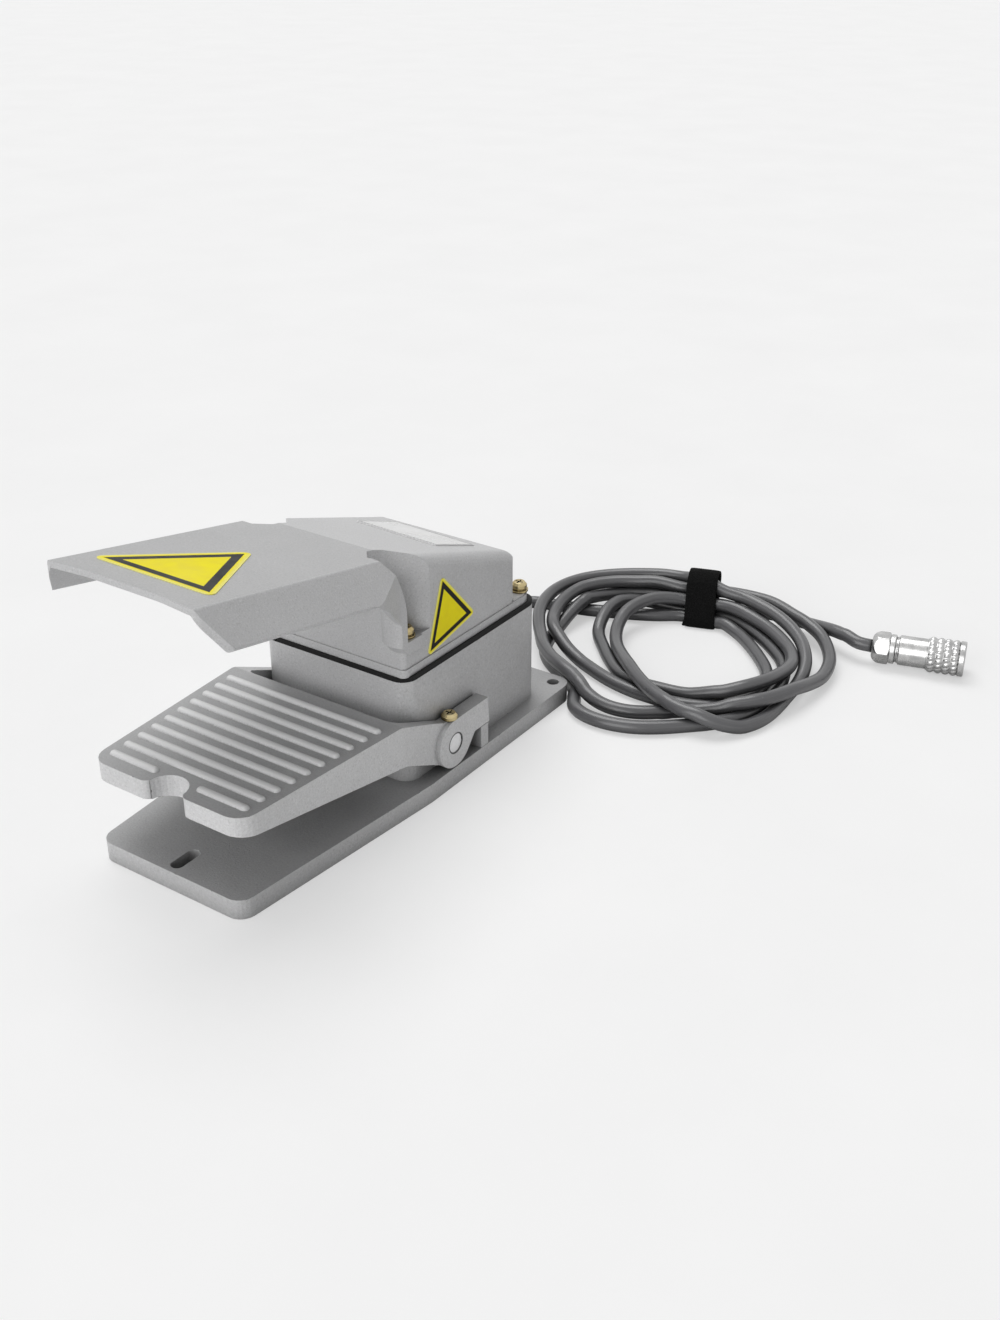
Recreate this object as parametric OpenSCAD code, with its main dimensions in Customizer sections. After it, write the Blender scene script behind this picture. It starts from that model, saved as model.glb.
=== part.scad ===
// Guarded foot switch: a die-cast box on a long base plate, a rocking treadle forked
// round the box, a one-piece cover with a toe hood, and a tied coil of cable that ends
// in a round locking connector. Millimetres. +X right, +Y back, +Z up; the toe end is
// at -Y, and the origin is the middle of the base plate's underside.

/* [Base plate] */
// Length of the base plate
base_len = 250; // [230:1:280]
// Width of the base plate behind the taper
base_w = 108; // [106:1:120]
// Width of the base plate at the toe end
nose_w = 87; // [70:1:100]
// Distance from the middle of the plate back to where the taper ends, negative towards the toe
taper_end_y = -3; // [-30:1:20]
// Thickness of the base plate
base_t = 10; // [8:0.5:12]
// Corner radius of the base plate
base_corner_r = 8; // [6:0.5:14]
// Thickness left over the hollows in the underside
base_skin_t = 4; // [3:0.5:6]
// Diameter of the three fixing holes
fixing_d = 6.5; // [5:0.1:8]
// Overall length of the front fixing slot
slot_len = 16; // [10:0.5:24]
// Distance of the fixing holes from the plate's ends
fixing_end_gap = 7.5; // [6.5:0.5:14]
// Distance of the rear fixing holes from the plate's sides
fixing_side_gap = 8; // [6.5:0.5:12]

/* [Switch box] */
// How far the box stands in from the base plate on each side
box_side_gap = 9; // [8.8:0.1:12]
// Front face of the box
box_front_y = -9; // [-14:0.5:-5]
// Rear face of the box
box_rear_y = 103; // [98:0.5:108]
// Height of the box rim above the floor
rim_z = 64.2; // [60:0.1:72]
// Wall thickness of the box
box_wall = 4; // [3:0.25:5]
// Thickness of the box floor
box_floor = 6; // [5:0.5:8]
// Corner radius of the box
box_corner_r = 8; // [6:0.5:12]
// Thickness of the gasket
gasket_t = 2.5; // [1.5:0.1:4]

/* [Cover and hood] */
// How far the cover stands in from the box on each side
cover_inset = 2; // [1:0.25:4]
// Wall thickness of the cover and hood casting
cover_wall = 3; // [2.5:0.25:4]
// Height of the crease between roof and hood
crease_z = 129; // [120:0.5:140]
// How far the crease lies in front of the cover's front face
crease_lead = 1.4; // [1:0.1:3]
// Slope of the roof down towards the rear, degrees
roof_fall = 18.2; // [12:0.2:22]
// Slope of the hood up towards the toe, degrees
hood_rise = 10.6; // [6:0.2:14]
// Reach of the hood in front of the crease
hood_reach = 126; // [100:0.5:135]
// Width of the hood's flat top
hood_top_w = 82; // [74:1:86]
// How far each hood flank spreads outwards
flank_out = 11.5; // [6:0.5:14]
// How far each hood flank drops
flank_drop = 16; // [10:0.5:20]
// How far the lower corner of a flank stands back from the hood's front edge
flank_setback = 10; // [4:0.5:16]
// Depth of the step behind the cover that carries the rear screws
ledge_depth = 14.5; // [13:0.5:20]
// Thickness of that step
ledge_t = 5; // [4:0.5:8]
// Radius of the long edges of the roof
roof_edge_r = 6; // [3:0.5:9]
// Radius of the edge between the hood's top and its flanks
hood_edge_r = 2; // [0.5:0.25:4]
// Height of the lip round the cover's lower edge
lip_h = 4.2; // [2:0.1:4.4]
// How far the lip stands out
lip_out = 0.6; // [0.3:0.1:1.5]
// Height of the pocket floor for the front screws above the cover's lower edge
pocket_lift = 18.3; // [14:0.5:24]
// Half the length of the screw pocket, along the side
pocket_half = 5.5; // [5:0.1:6.5]

/* [Screws] */
// Distance of the cover screws from the cover's sides
screw_side_gap = 4.5; // [3.5:0.1:6]
// Thread diameter of the cover screws
screw_d = 4; // [3:0.5:5]
// Head diameter of the cover screws
screw_head_d = 8; // [6:0.5:9]
// Head height of the cover screws
screw_head_h = 3; // [2:0.1:4]
// Diameter of the washers
washer_d = 9.2; // [8.2:0.1:9.4]
// Thickness of the washer pair under each head
washer_t = 2; // [1:0.1:2.5]
// How far a cover screw reaches below the box rim
screw_bite = 12; // [8:0.5:16]

/* [Treadle] */
// Width of the tread at the toe end
tread_front_w = 90.5; // [80:0.5:96]
// How far the tread's rear corners stand in from the bosses
tread_inset = 0.7; // [0.2:0.1:2]
// Front edge of the tread
tread_front_y = -122.5; // [-124:0.5:-112]
// Rear edge of the tread, in front of the box
tread_rear_y = -21.3; // [-24:0.1:-16]
// Height of the tread surface at rest
tread_z = 51; // [48:0.5:55]
// Thickness of the tread plate
tread_t = 6; // [5:0.5:8]
// Depth of the tread's edge at the toe end
tread_edge_h = 9.5; // [8:0.5:12]
// Depth of the tread's sides at the rear
tread_side_h = 22; // [18:0.5:26]
// Width of the notch in the front edge
notch_w = 20; // [16:0.5:26]
// Depth of the notch
notch_depth = 12; // [9:0.5:12]
// Number of grip ribs
rib_count = 10; // [6:1:10]
// Distance from rib to rib
rib_pitch = 9; // [8:0.1:9.6]
// Radius of a rib
rib_r = 2.2; // [1.5:0.1:3]
// Height of a rib above the tread
rib_h = 1.6; // [1:0.1:2]
// Margin between a rib's end and the side of the tread
rib_margin = 6.5; // [4:0.5:9]
// Clear gap between an arm and the box
arm_gap = 1.2; // [0.8:0.1:2]
// Thickness of the arms
arm_t = 5; // [4:0.25:5.5]
// Thickness of the round bosses and the tails behind them
boss_t = 7.5; // [7:0.25:8]
// Rear end of the tails
tail_end_y = 45; // [42:0.5:50]
// Depth of the tails
tail_h = 14; // [10:0.5:14]
// Length of the stop posts under the tails, along the side
post_len = 6; // [4:0.5:9]

/* [Pivot] */
// Distance of the pivot behind the plate's middle
pivot_y = 17.5; // [14:0.5:20]
// Height of the pivot
pivot_z = 23.3; // [23:0.1:25]
// Diameter of the pivot shaft
shaft_d = 10; // [8:0.5:12]
// Radius of the arm bosses
boss_r = 13; // [11:0.1:13]
// Outside diameter of the shaft bushes
bush_d = 14; // [13:0.5:16]
// Length of each shaft bush
bush_len = 10; // [8:0.5:12]
// Thickness of the sealing rings between box and arms
seal_t = 0.9; // [0.5:0.1:1]
// Diameter of the treadle's set screws
set_screw_d = 5; // [4:0.5:5]
// Angle through which the treadle rocks, degrees
treadle_travel = 7; // [5:0.5:8]

/* [Switch gear] */
// Length of the snap switch
switch_len = 27.8; // [24:0.1:30]
// Thickness of the snap switch
switch_t = 10.3; // [9:0.1:11]
// Height of the snap switch
switch_h = 15.9; // [14:0.1:18]
// Distance of the plunger behind the pivot
plunger_reach = 17; // [15:0.5:18]
// Diameter of the plunger
plunger_d = 3; // [2.5:0.1:4]
// How far the plunger stands out of the switch
plunger_out = 2.9; // [2.8:0.1:3.4]
// Distance of the return spring behind the pivot
spring_reach = 44.5; // [42:0.5:48]
// Outside diameter of the return spring
spring_d = 10; // [8:0.5:12]
// Wire diameter of the return spring
spring_wire = 1.2; // [0.8:0.1:1.6]
// Turns of the return spring
spring_turns = 7; // [5:1:9]
// Thickness of the sheet that the bracket is bent from
bracket_t = 2; // [1.5:0.25:2.5]
// Radius of the cam lever's hub
hub_r = 8.5; // [7:0.5:8.5]
// Width of the cam lever
lever_w = 14; // [12:0.5:16]
// Thickness of the cam lever's arm
lever_t = 5; // [4:0.5:6]

/* [Cable and gland] */
// Diameter of the cable
cable_d = 7.5; // [6:0.1:8]
// Distance of the gland from the middle, negative to the left
gland_x = -18; // [-18:0.5:-16]
// Height of the gland
gland_z = 36; // [34:0.5:38]
// Thread diameter of the gland
gland_d = 20; // [18:0.5:20]
// Width across the flats of the gland's hexagons
gland_hex = 24; // [22:0.5:24]
// Length of the gland nut
gland_nut_len = 21; // [18:0.5:24]
// Height of the coil as it lies
coil_h = 22; // [16:0.5:30]
// Width of the hook-and-loop tie
tie_w = 18; // [14:0.5:25]

/* [Connector] */
// Width across the flats of the connector's clamp nut
clamp_hex = 16; // [14:0.5:18]
// Length of the clamp nut
clamp_len = 13; // [10:0.5:16]
// Diameter of the connector's smooth barrel
barrel_d = 17; // [15:0.5:18]
// Length of the bare part of the barrel
barrel_len = 18; // [14:0.5:24]
// Diameter of the ribbed locking sleeve
sleeve_d = 20.2; // [19:0.1:23]
// Length of the locking sleeve
sleeve_len = 20; // [16:0.5:24]
// Travel of the locking sleeve
sleeve_travel = 2.4; // [1.5:0.1:3]

/* [Hidden] */

$fn = 48;
cut = 1; // overshoot of a cutting tool past the face it opens
fit_gap = 0.05; // radial gap of a pin, bush or thread in its hole
rest_gap = 0.3; // gap where two pieces lie on each other at rest
arc_steps = 6; // segments in a rounded corner

cast_grey = "#9d9e9f";
zinc_yellow = "#c9b46a";
steel_bright = "#c8cacc";
brass_colour = "#b8964a";
black_rubber = "#1b1b1c";
cable_grey = "#7d7e80";
black_plastic = "#202022";
sign_yellow = "#efe21c";

half_x = base_w / 2 - box_side_gap;
base_back_y = base_len / 2;
cover_z = rim_z + gasket_t;
cover_half = half_x - cover_inset;
cover_front_y = box_front_y + cover_inset - 0.6;
cover_rear_y = box_rear_y - cover_inset;
body_rear_y = cover_rear_y - ledge_depth;
crease_y = cover_front_y - crease_lead;
hood_front_y = crease_y - hood_reach * cos(hood_rise);
flank_half = hood_top_w / 2 + flank_out;
screw_x = cover_half - screw_side_gap;
pocket_z = cover_z + pocket_lift;
front_screw_y = cover_front_y + cover_wall + pocket_half - 0.9;
rear_screw_y = cover_rear_y - 6;
rear_seat_z = cover_z + ledge_t;
arm_in = half_x + arm_gap;
arm_out = arm_in + arm_t;
boss_out = arm_in + boss_t;
tread_rear_w = 2 * (boss_out - tread_inset);
tail_top_z = pivot_z + boss_r;
tail_low_z = tail_top_z - tail_h;
wall_in_y = box_rear_y - box_wall;
lever_top_z = pivot_z + 1.2;
bump_h = 2.5;
bump_z = lever_top_z + bump_h;
plunger_y = pivot_y + plunger_reach;
plunger_low_z = bump_z + rest_gap;
switch_low_z = plunger_low_z + plunger_out;
switch_front_y = plunger_y - 9;
switch_x = lever_w / 2 + rest_gap - switch_t / 2;
bracket_x = switch_x + switch_t / 2 + 0.2;
spring_y = pivot_y + spring_reach;
spring_low_z = lever_top_z + 0.2;
bracket_top_z = switch_low_z + switch_h + 4;
spring_top_z = bracket_top_z - 0.2;
cable_r = cable_d / 2;
gland_flange = 5;
gland_thread_d = gland_d - 2;
gland_thread_len = 9;
gland_face_y = box_rear_y + gland_flange;
gland_mouth_y = gland_face_y + gland_nut_len;

function roof_at(y) = crease_z - (y - crease_y) * tan(roof_fall);
function hood_at(y) = crease_z + (crease_y - y) * tan(hood_rise);
function tread_half(y) = (tread_front_w + (tread_rear_w - tread_front_w)
    * (y - tread_front_y) / (tread_rear_y - tread_front_y)) / 2;

// ---------- outlines ----------

function unit(v) = v / norm(v);
function xy(p) = [p[0], p[1]];
function wrapped(i, n) = (i + n) % n;

// The arc that rounds corner p between its neighbours a and b; p[2] is its radius
function corner_arc(a, p, b) =
    let (u = unit(xy(a) - xy(p)), v = unit(xy(b) - xy(p)), half = acos(u * v) / 2)
    let (centre = xy(p) + unit(u + v) * p[2] / sin(half))
    let (from = xy(p) + u * p[2] / tan(half) - centre, to = xy(p) + v * p[2] / tan(half) - centre)
    let (start = atan2(from[1], from[0]), turn = (atan2(to[1], to[0]) - start + 900) % 360 - 180)
    [for (k = [0:arc_steps]) centre + p[2] * [cos(start + turn * k / arc_steps),
        sin(start + turn * k / arc_steps)]];

// A closed outline from [x, y, radius] corners; radius 0 keeps a sharp corner
function rounded(c) = [for (i = [0:len(c) - 1]) each c[i][2] == 0 ? [xy(c[i])]
    : corner_arc(c[wrapped(i - 1, len(c))], c[i], c[wrapped(i + 1, len(c))])];

// Mirrors a right-hand list of corners to the left and joins both into one outline
function both_sides(c) = concat(c, [for (i = [len(c) - 1:-1:0]) [-c[i][0], c[i][1], c[i][2]]]);

// A block with four rounded upright edges
module upright_block(half_w, y0, y1, z0, z1, r_front, r_rear) {
    translate([0, 0, z0])
        linear_extrude(z1 - z0)
            polygon(rounded(both_sides([[half_w, y0, r_front], [half_w, y1, r_rear]])));
}

// Extrudes a (Y, Z) outline along X, from x0 to x1
module across(x0, x1) {
    translate([x0, 0, 0])
        rotate([90, 0, 90])
            linear_extrude(x1 - x0)
                children();
}

module both_hands() {
    children();
    mirror([1, 0, 0]) children();
}

// Six-sided bar along Z, width across flats
module hex_bar(flats, length) {
    cylinder(d = flats / cos(30), h = length, $fn = 6);
}

// Turns +Z to the rear
module backwards() {
    rotate([-90, 0, 0]) children();
}

// Turns +Z to the right
module sideways() {
    rotate([0, 90, 0]) children();
}

// ---------- swept tubes ----------

// Curve through the points p, with n steps a span
function spline_point(a, b, c, d, t) = ((-t * t * t + 2 * t * t - t) * a
    + (3 * t * t * t - 5 * t * t + 2) * b + (-3 * t * t * t + 4 * t * t + t) * c
    + (t * t * t - t * t) * d) / 2;
function smooth(p, n) = concat([for (i = [0:len(p) - 2], k = [0:n - 1])
    spline_point(p[max(i - 1, 0)], p[i], p[i + 1], p[min(i + 2, len(p) - 1)], k / n)],
    [p[len(p) - 1]]);
function tangent(p, i) = unit(p[min(i + 1, len(p) - 1)] - p[max(i - 1, 0)]);
function ring(c, t, r, sides) =
    let (s = unit(cross(t, [0, 0, 1])), u = cross(s, t))
    [for (k = [0:sides - 1]) c + r * (cos(360 * k / sides) * s + sin(360 * k / sides) * u)];

// A tube of round section along the points p
module tube(p, r, sides) {
    n = len(p);
    side_faces = [for (i = [0:n - 2], k = [0:sides - 1]) [i * sides + k, i * sides + (k + 1) % sides,
        (i + 1) * sides + (k + 1) % sides, (i + 1) * sides + k]];
    polyhedron(points = [for (i = [0:n - 1]) each ring(p[i], tangent(p, i), r, sides)],
        faces = concat(side_faces, [[for (k = [sides - 1:-1:0]) k]],
            [[for (k = [0:sides - 1]) (n - 1) * sides + k]]));
}

// ---------- base and box ----------

plate_corners = [[nose_w / 2, -base_back_y, base_corner_r], [base_w / 2, taper_end_y, 40],
    [base_w / 2, base_back_y, base_corner_r]];
hole_x = base_w / 2 - fixing_side_gap;
hole_y = base_back_y - fixing_end_gap;
slot_y = -base_back_y + fixing_end_gap + fixing_d / 2;

module fixing_holes() {
    both_hands()
        translate([hole_x, hole_y, -cut])
            cylinder(d = fixing_d, h = base_t + 2 * cut);
    for (end = [-1, 1])
        translate([0, slot_y + end * (slot_len - fixing_d) / 2, -cut])
            cylinder(d = fixing_d, h = base_t + 2 * cut);
    translate([-fixing_d / 2, slot_y - (slot_len - fixing_d) / 2, -cut])
        cube([fixing_d, slot_len - fixing_d, base_t + 2 * cut]);
}

// Hollows in the underside, in front of the box
hollow_web = 6;
hollow_front_y = slot_y + slot_len / 2 + hollow_web;
hollow_half = nose_w / 2 - hollow_web;

module underside_hollows() {
    both_hands()
        for (y = [[hollow_front_y, -60], [-60 + hollow_web, box_front_y - hollow_web]])
            translate([0, 0, -cut])
                linear_extrude(base_t - base_skin_t + cut)
                    polygon(rounded([[hollow_web / 2, y[0], 3], [hollow_half, y[0], 3],
                        [hollow_half, y[1], 3], [hollow_web / 2, y[1], 3]]));
}

screw_boss_d = screw_d + 7;
box_bosses = [[screw_x, front_screw_y], [screw_x, rear_screw_y]];
earth_boss_d = 11;
earth_boss_h = 6;
earth_x = -(half_x - box_wall - earth_boss_d);
earth_y = pivot_y + 16.5;

module box_inside(top_z) {
    upright_block(half_x - box_wall, box_front_y + box_wall, wall_in_y, box_floor, top_z,
        box_corner_r - box_wall + 1, box_corner_r - box_wall + 1);
}

module inner_bosses() {
    both_hands()
        for (b = box_bosses)
            intersection() {
                translate([b[0], b[1], box_floor - cut])
                    cylinder(d = screw_boss_d, h = rim_z - box_floor + cut);
                upright_block(half_x, box_front_y, box_rear_y, 0, rim_z, box_corner_r, box_corner_r);
            }
    both_hands()
        translate([half_x - bush_len, pivot_y, pivot_z])
            sideways() cylinder(d = bush_d + 8, h = bush_len - box_wall / 2);
    translate([earth_x, earth_y, box_floor - cut])
        cylinder(d = earth_boss_d, h = earth_boss_h + cut);
}

// Stop posts that the treadle's tails rest on
module stop_posts() {
    both_hands()
        translate([arm_in + 1, tail_end_y - post_len, base_t - cut])
            cube([boss_out - arm_in - 1, post_len, tail_low_z - rest_gap - base_t + cut]);
}

bracket_foot = 14;
bracket_hole_end = 9.5;
bracket_front_y = switch_front_y + 1;
bracket_rear_y = spring_y + spring_d / 2 + 1;
bracket_holes_y = [bracket_front_y + bracket_hole_end, bracket_rear_y - bracket_hole_end];
bracket_hole_x = bracket_x + bracket_t + bracket_foot / 2 + 1;
block_w = 29;
block_d = 14;
block_h = 14;
block_x = -(half_x - box_wall) + rest_gap + block_w / 2;
block_y = wall_in_y - 35;
block_screws_x = [block_x - block_w / 2 + 3, block_x + block_w / 2 - 3];
pole_pitch = 8;
thread_depth = 4.5;

module base_housing() {
    color(cast_grey)
        difference() {
            union() {
                difference() {
                    union() {
                        linear_extrude(base_t)
                            polygon(rounded(both_sides(plate_corners)));
                        upright_block(half_x, box_front_y, box_rear_y, 0, rim_z, box_corner_r, box_corner_r);
                    }
                    box_inside(rim_z + cut);
                }
                inner_bosses();
                stop_posts();
            }
            fixing_holes();
            underside_hollows();
            both_hands()
                for (b = box_bosses)
                    translate([b[0], b[1], rim_z - screw_bite - 2])
                        cylinder(d = screw_d + 2 * fit_gap, h = screw_bite + 2 + cut);
            both_hands()
                translate([half_x - bush_len - cut, pivot_y, pivot_z])
                    sideways() cylinder(d = bush_d + 2 * fit_gap, h = bush_len + 2 * cut);
            translate([gland_x, wall_in_y - cut, gland_z])
                backwards() cylinder(d = gland_d + 2 * fit_gap, h = box_wall + 2 * cut);
            for (y = bracket_holes_y)
                translate([bracket_hole_x, y, box_floor - thread_depth])
                    cylinder(d = 3 + 2 * fit_gap, h = thread_depth + cut);
            translate([earth_x, earth_y, box_floor])
                cylinder(d = screw_d + 2 * fit_gap, h = earth_boss_h + cut);
            for (x = block_screws_x)
                translate([x, block_y, box_floor - thread_depth])
                    cylinder(d = 3 + 2 * fit_gap, h = thread_depth + cut);
        }
}

module cover_gasket() {
    color(black_rubber)
        difference() {
            upright_block(half_x, box_front_y, box_rear_y, rim_z, cover_z, box_corner_r, box_corner_r);
            difference() {
                upright_block(half_x - box_wall, box_front_y + box_wall, wall_in_y, rim_z - cut, cover_z + cut,
                    box_corner_r - box_wall + 1, box_corner_r - box_wall + 1);
                both_hands()
                    for (b = box_bosses)
                        translate([b[0], b[1], rim_z - 2 * cut])
                            cylinder(d = screw_boss_d, h = gasket_t + 4 * cut);
            }
            both_hands()
                for (b = box_bosses)
                    translate([b[0], b[1], rim_z - cut])
                        cylinder(d = screw_d + 0.5, h = gasket_t + 2 * cut);
        }
}

// ---------- cover and hood ----------

// Follows the hood's slope from the crease to the toe; 2D X is across, 2D Y is up
module along_hood(start, length) {
    translate([0, crease_y, crease_z])
        rotate([90 - hood_rise, 0, 0])
            translate([0, 0, start])
                linear_extrude(length)
                    children();
}

// Follows the roof's slope from the crease to the rear
module along_roof(start, length) {
    translate([0, crease_y, crease_z])
        rotate([90 + roof_fall, 0, 180])
            translate([0, 0, start])
                linear_extrude(length)
                    children();
}

flank_dir = unit([flank_out, -flank_drop]);
flank_in = cover_wall * [flank_dir[1], -flank_dir[0]];
top_corner = [hood_top_w / 2, 0];
foot_corner = [flank_half, -flank_drop];
inner_top_x = top_corner[0] + flank_in[0]
    + flank_dir[0] * (cover_wall + flank_in[1]) / -flank_dir[1];
foot_inner = foot_corner + flank_in;
hood_section = [[top_corner[0], top_corner[1], hood_edge_r], [foot_corner[0], foot_corner[1], 1],
    [foot_inner[0], foot_inner[1], 1], [inner_top_x, -cover_wall, 1]];

wing_x = cover_half + 1.2; // outer face of a wing, just outside the cover's side
neck_len = 24; // run over which the flanks draw in to the wings
toe_bow = 3; // how far the middle of the hood's front edge is swept back

// Corners of the hood's plan where a flank draws in to its wing, moved inwards by inset
function neck_corners(inset) = [[flank_half - inset, crease_y - neck_len, 25],
    [wing_x - inset, crease_y - 1, 12], [wing_x - inset, cover_front_y + cover_wall, 0]];

// Plan of the hood: swept corners at the toe, drawn in to the wings beside the cover
module hood_plan() {
    translate([0, 0, cover_z])
        linear_extrude(2 * crease_z)
            polygon(rounded(both_sides(concat([[hood_top_w / 4, hood_front_y + toe_bow, 60],
                [hood_top_w / 2, hood_front_y, 8], [flank_half, hood_front_y + flank_setback, 4]],
                neck_corners(0)))));
}

module hood() {
    intersection() {
        along_roof(-2 * hood_reach, 4 * hood_reach)
            translate([-base_w, -2 * crease_z]) square([2 * base_w, 2 * crease_z]);
        along_hood(-10, hood_reach + 10)
            polygon(rounded(both_sides(hood_section)));
        hood_plan();
    }
}

rear_lean = 3;

// Side view of the roofed part, or of its inside at the given depth
module cover_profile(inset) {
    rear = body_rear_y - inset;
    top = rear - rear_lean;
    across(-base_w, base_w)
        polygon(rounded([[cover_front_y + inset, cover_z - (inset > 0 ? cut : 0), 0],
            [rear, cover_z - (inset > 0 ? cut : 0), 0],
            [top, roof_at(top) - inset / cos(roof_fall), max(7 - inset, 3)],
            [cover_front_y + inset, roof_at(cover_front_y + inset) - inset / cos(roof_fall), 0]]));
}

module cover_solid() {
    intersection() {
        cover_profile(0);
        upright_block(cover_half, cover_front_y, body_rear_y, cover_z, 2 * crease_z, 2.5, 6);
        along_roof(-20, base_len)
            polygon(rounded(both_sides([[cover_half, -2 * crease_z, 0], [cover_half, 0, roof_edge_r]])));
    }
}

// The open pocket round a front screw
pocket_in_x = screw_x - pocket_half - 4;
pocket_front_y = front_screw_y - pocket_half;
pocket_rear_y = front_screw_y + pocket_half;
scoop_len = 21.1; // run of the pocket along the cover's side
scoop_gap = 2.5; // room in plan between the pocket's corners and the screw's seat
scoop_end_y = cover_front_y + scoop_len; // where the pocket runs out in the cover's side
wing_bend_z = pocket_z + 25; // level at which the pocket's front starts to lean
wing_lean = 35.3; // lean of the pocket's upper part towards the toe, degrees

module screw_pocket() {
    intersection() {
        across(pocket_in_x - 5, 2 * half_x)
            polygon(rounded([[pocket_front_y, pocket_z, 1], [scoop_end_y, pocket_z, 0],
                [scoop_end_y, 2 * crease_z, 0],
                [pocket_front_y - crease_z * tan(wing_lean), wing_bend_z + crease_z, 0],
                [pocket_front_y, wing_bend_z, 40]]));
        translate([0, 0, pocket_z])
            linear_extrude(2 * crease_z)
                polygon(rounded([[pocket_in_x + 11, crease_y - 18, 0], [pocket_in_x - 1, crease_y - 4, 3],
                    [pocket_in_x - 0.5, pocket_front_y + scoop_gap, 4],
                    [screw_x + 0.8, pocket_rear_y + scoop_gap, 12], [cover_half + 0.2, scoop_end_y, 0],
                    [2 * half_x, scoop_end_y, 0], [2 * half_x, crease_y - 60, 0]]));
    }
}

wing_start_y = crease_y - neck_len - 5; // where the wing leaves the flank
wing_t = cover_wall + 1; // thickness of the wing, in plan

// Wall that hangs from a flank and carries it on, drawn in and down, to the pocket's floor
module wing_wall() {
    intersection() {
        hood_prism();
        translate([0, 0, cover_z])
            linear_extrude(2 * crease_z)
                polygon(concat(rounded(concat([[flank_half, wing_start_y, 0]], neck_corners(0))),
                    [for (c = [2:-1:0]) xy(neck_corners(wing_t)[c])],
                    [[flank_half - wing_t, wing_start_y]]));
        across(0, base_w)
            polygon(rounded([[wing_start_y, hood_at(wing_start_y) - flank_drop, 0],
                [wing_start_y + 11, wing_bend_z + 2, 20], [front_screw_y - 10, wing_bend_z - 14, 15],
                [pocket_front_y + 1, pocket_z + 1, 0], [pocket_front_y + 1, 2 * crease_z, 0],
                [wing_start_y, 2 * crease_z, 0]]));
    }
}

post_r = pocket_half + 5.5;

// Round front of the corner post, with a coned foot
module corner_post() {
    intersection() {
        translate([screw_x, front_screw_y, pocket_z - 1.5]) {
            cylinder(r = post_r, h = hood_at(front_screw_y) - pocket_z - 4);
            translate([0, 0, -5])
                cylinder(r1 = post_r - 4, r2 = post_r, h = 5);
        }
        translate([pocket_in_x - 4, front_screw_y - post_r, cover_z])
            cube([wing_x - pocket_in_x + 4, post_r + pocket_half, 2 * crease_z]);
        union() {
            hood_prism();
            cover_solid();
        }
    }
}

// All that lies under the hood's outer surface
module hood_prism() {
    along_hood(-40, hood_reach)
        polygon([[-flank_half, -flank_drop], [-hood_top_w / 2, 0], [hood_top_w / 2, 0],
            [flank_half, -flank_drop], [flank_half, -crease_z], [-flank_half, -crease_z]]);
}

module cover_cavity() {
    difference() {
        intersection() {
            cover_profile(cover_wall);
            upright_block(cover_half - cover_wall, cover_front_y + cover_wall, body_rear_y - cover_wall,
                cover_z - cut, 2 * crease_z, 2, 3);
            along_roof(-20, base_len)
                polygon(rounded(both_sides([[cover_half - cover_wall, -2 * crease_z, 0],
                    [cover_half - cover_wall, -cover_wall, roof_edge_r - cover_wall + 1]])));
        }
        both_hands()
            translate([pocket_in_x - cover_wall, cover_front_y, cover_z - 2 * cut])
                cube([half_x, scoop_end_y - cover_front_y, 2 * crease_z]);
    }
}

module cover_hood() {
    color(cast_grey)
        difference() {
            union() {
                cover_solid();
                hood();
                both_hands() wing_wall();
                both_hands() corner_post();
                upright_block(cover_half, body_rear_y - cover_wall, cover_rear_y, cover_z, rear_seat_z, 1, 10);
                upright_block(cover_half + lip_out, cover_front_y - lip_out, cover_rear_y + lip_out,
                    cover_z, cover_z + lip_h, 3, 10);
            }
            cover_cavity();
            both_hands() screw_pocket();
            both_hands()
                translate([screw_x, front_screw_y, cover_z - cut])
                    cylinder(d = screw_d + 0.5, h = pocket_lift + 2 * cut);
            both_hands()
                translate([screw_x, rear_screw_y, cover_z - cut])
                    cylinder(d = screw_d + 0.5, h = ledge_t + 2 * cut);
        }
}

// Pan-head screw, head up, seated at z = 0 and reaching down by length
module pan_screw(d, length, head_d, head_h) {
    recess = head_d * 0.55;
    difference() {
        union() {
            translate([0, 0, -length]) cylinder(d = d, h = length + head_h / 2);
            cylinder(d = head_d, h = head_h * 0.55);
            translate([0, 0, head_h * 0.55])
                cylinder(d1 = head_d, d2 = head_d * 0.72, h = head_h * 0.45);
        }
        for (turn = [0, 90])
            rotate([0, 0, turn])
                translate([-recess / 2, -head_h * 0.15, head_h * 0.45])
                    cube([recess, head_h * 0.3, head_h]);
    }
}

cover_seats = [[screw_x, front_screw_y, pocket_z], [screw_x, rear_screw_y, rear_seat_z]];

module cover_screws() {
    color(zinc_yellow)
        both_hands()
            for (s = cover_seats)
                translate([s[0], s[1], s[2] + washer_t])
                    pan_screw(screw_d, s[2] + washer_t - rim_z + screw_bite, screw_head_d, screw_head_h);
}

module cover_washers() {
    color(zinc_yellow)
        both_hands()
            for (s = cover_seats)
                translate([s[0], s[1], s[2]])
                    difference() {
                        union() {
                            cylinder(d = washer_d, h = washer_t / 2);
                            cylinder(d = screw_head_d - 1, h = washer_t);
                        }
                        translate([0, 0, -cut]) cylinder(d = screw_d + 0.3, h = washer_t + 2 * cut);
                    }
}

plate_w = 54;
plate_len = 29;
plate_t = 0.5;
plate_y = crease_y + 67.5;
plate_turn = -6;

module name_plate() {
    color("gainsboro")
        translate([0, plate_y, roof_at(plate_y)])
            rotate([-roof_fall, 0, 0])
                linear_extrude(plate_t)
                    rotate(plate_turn) square([plate_w, plate_len], center = true);
}

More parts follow.
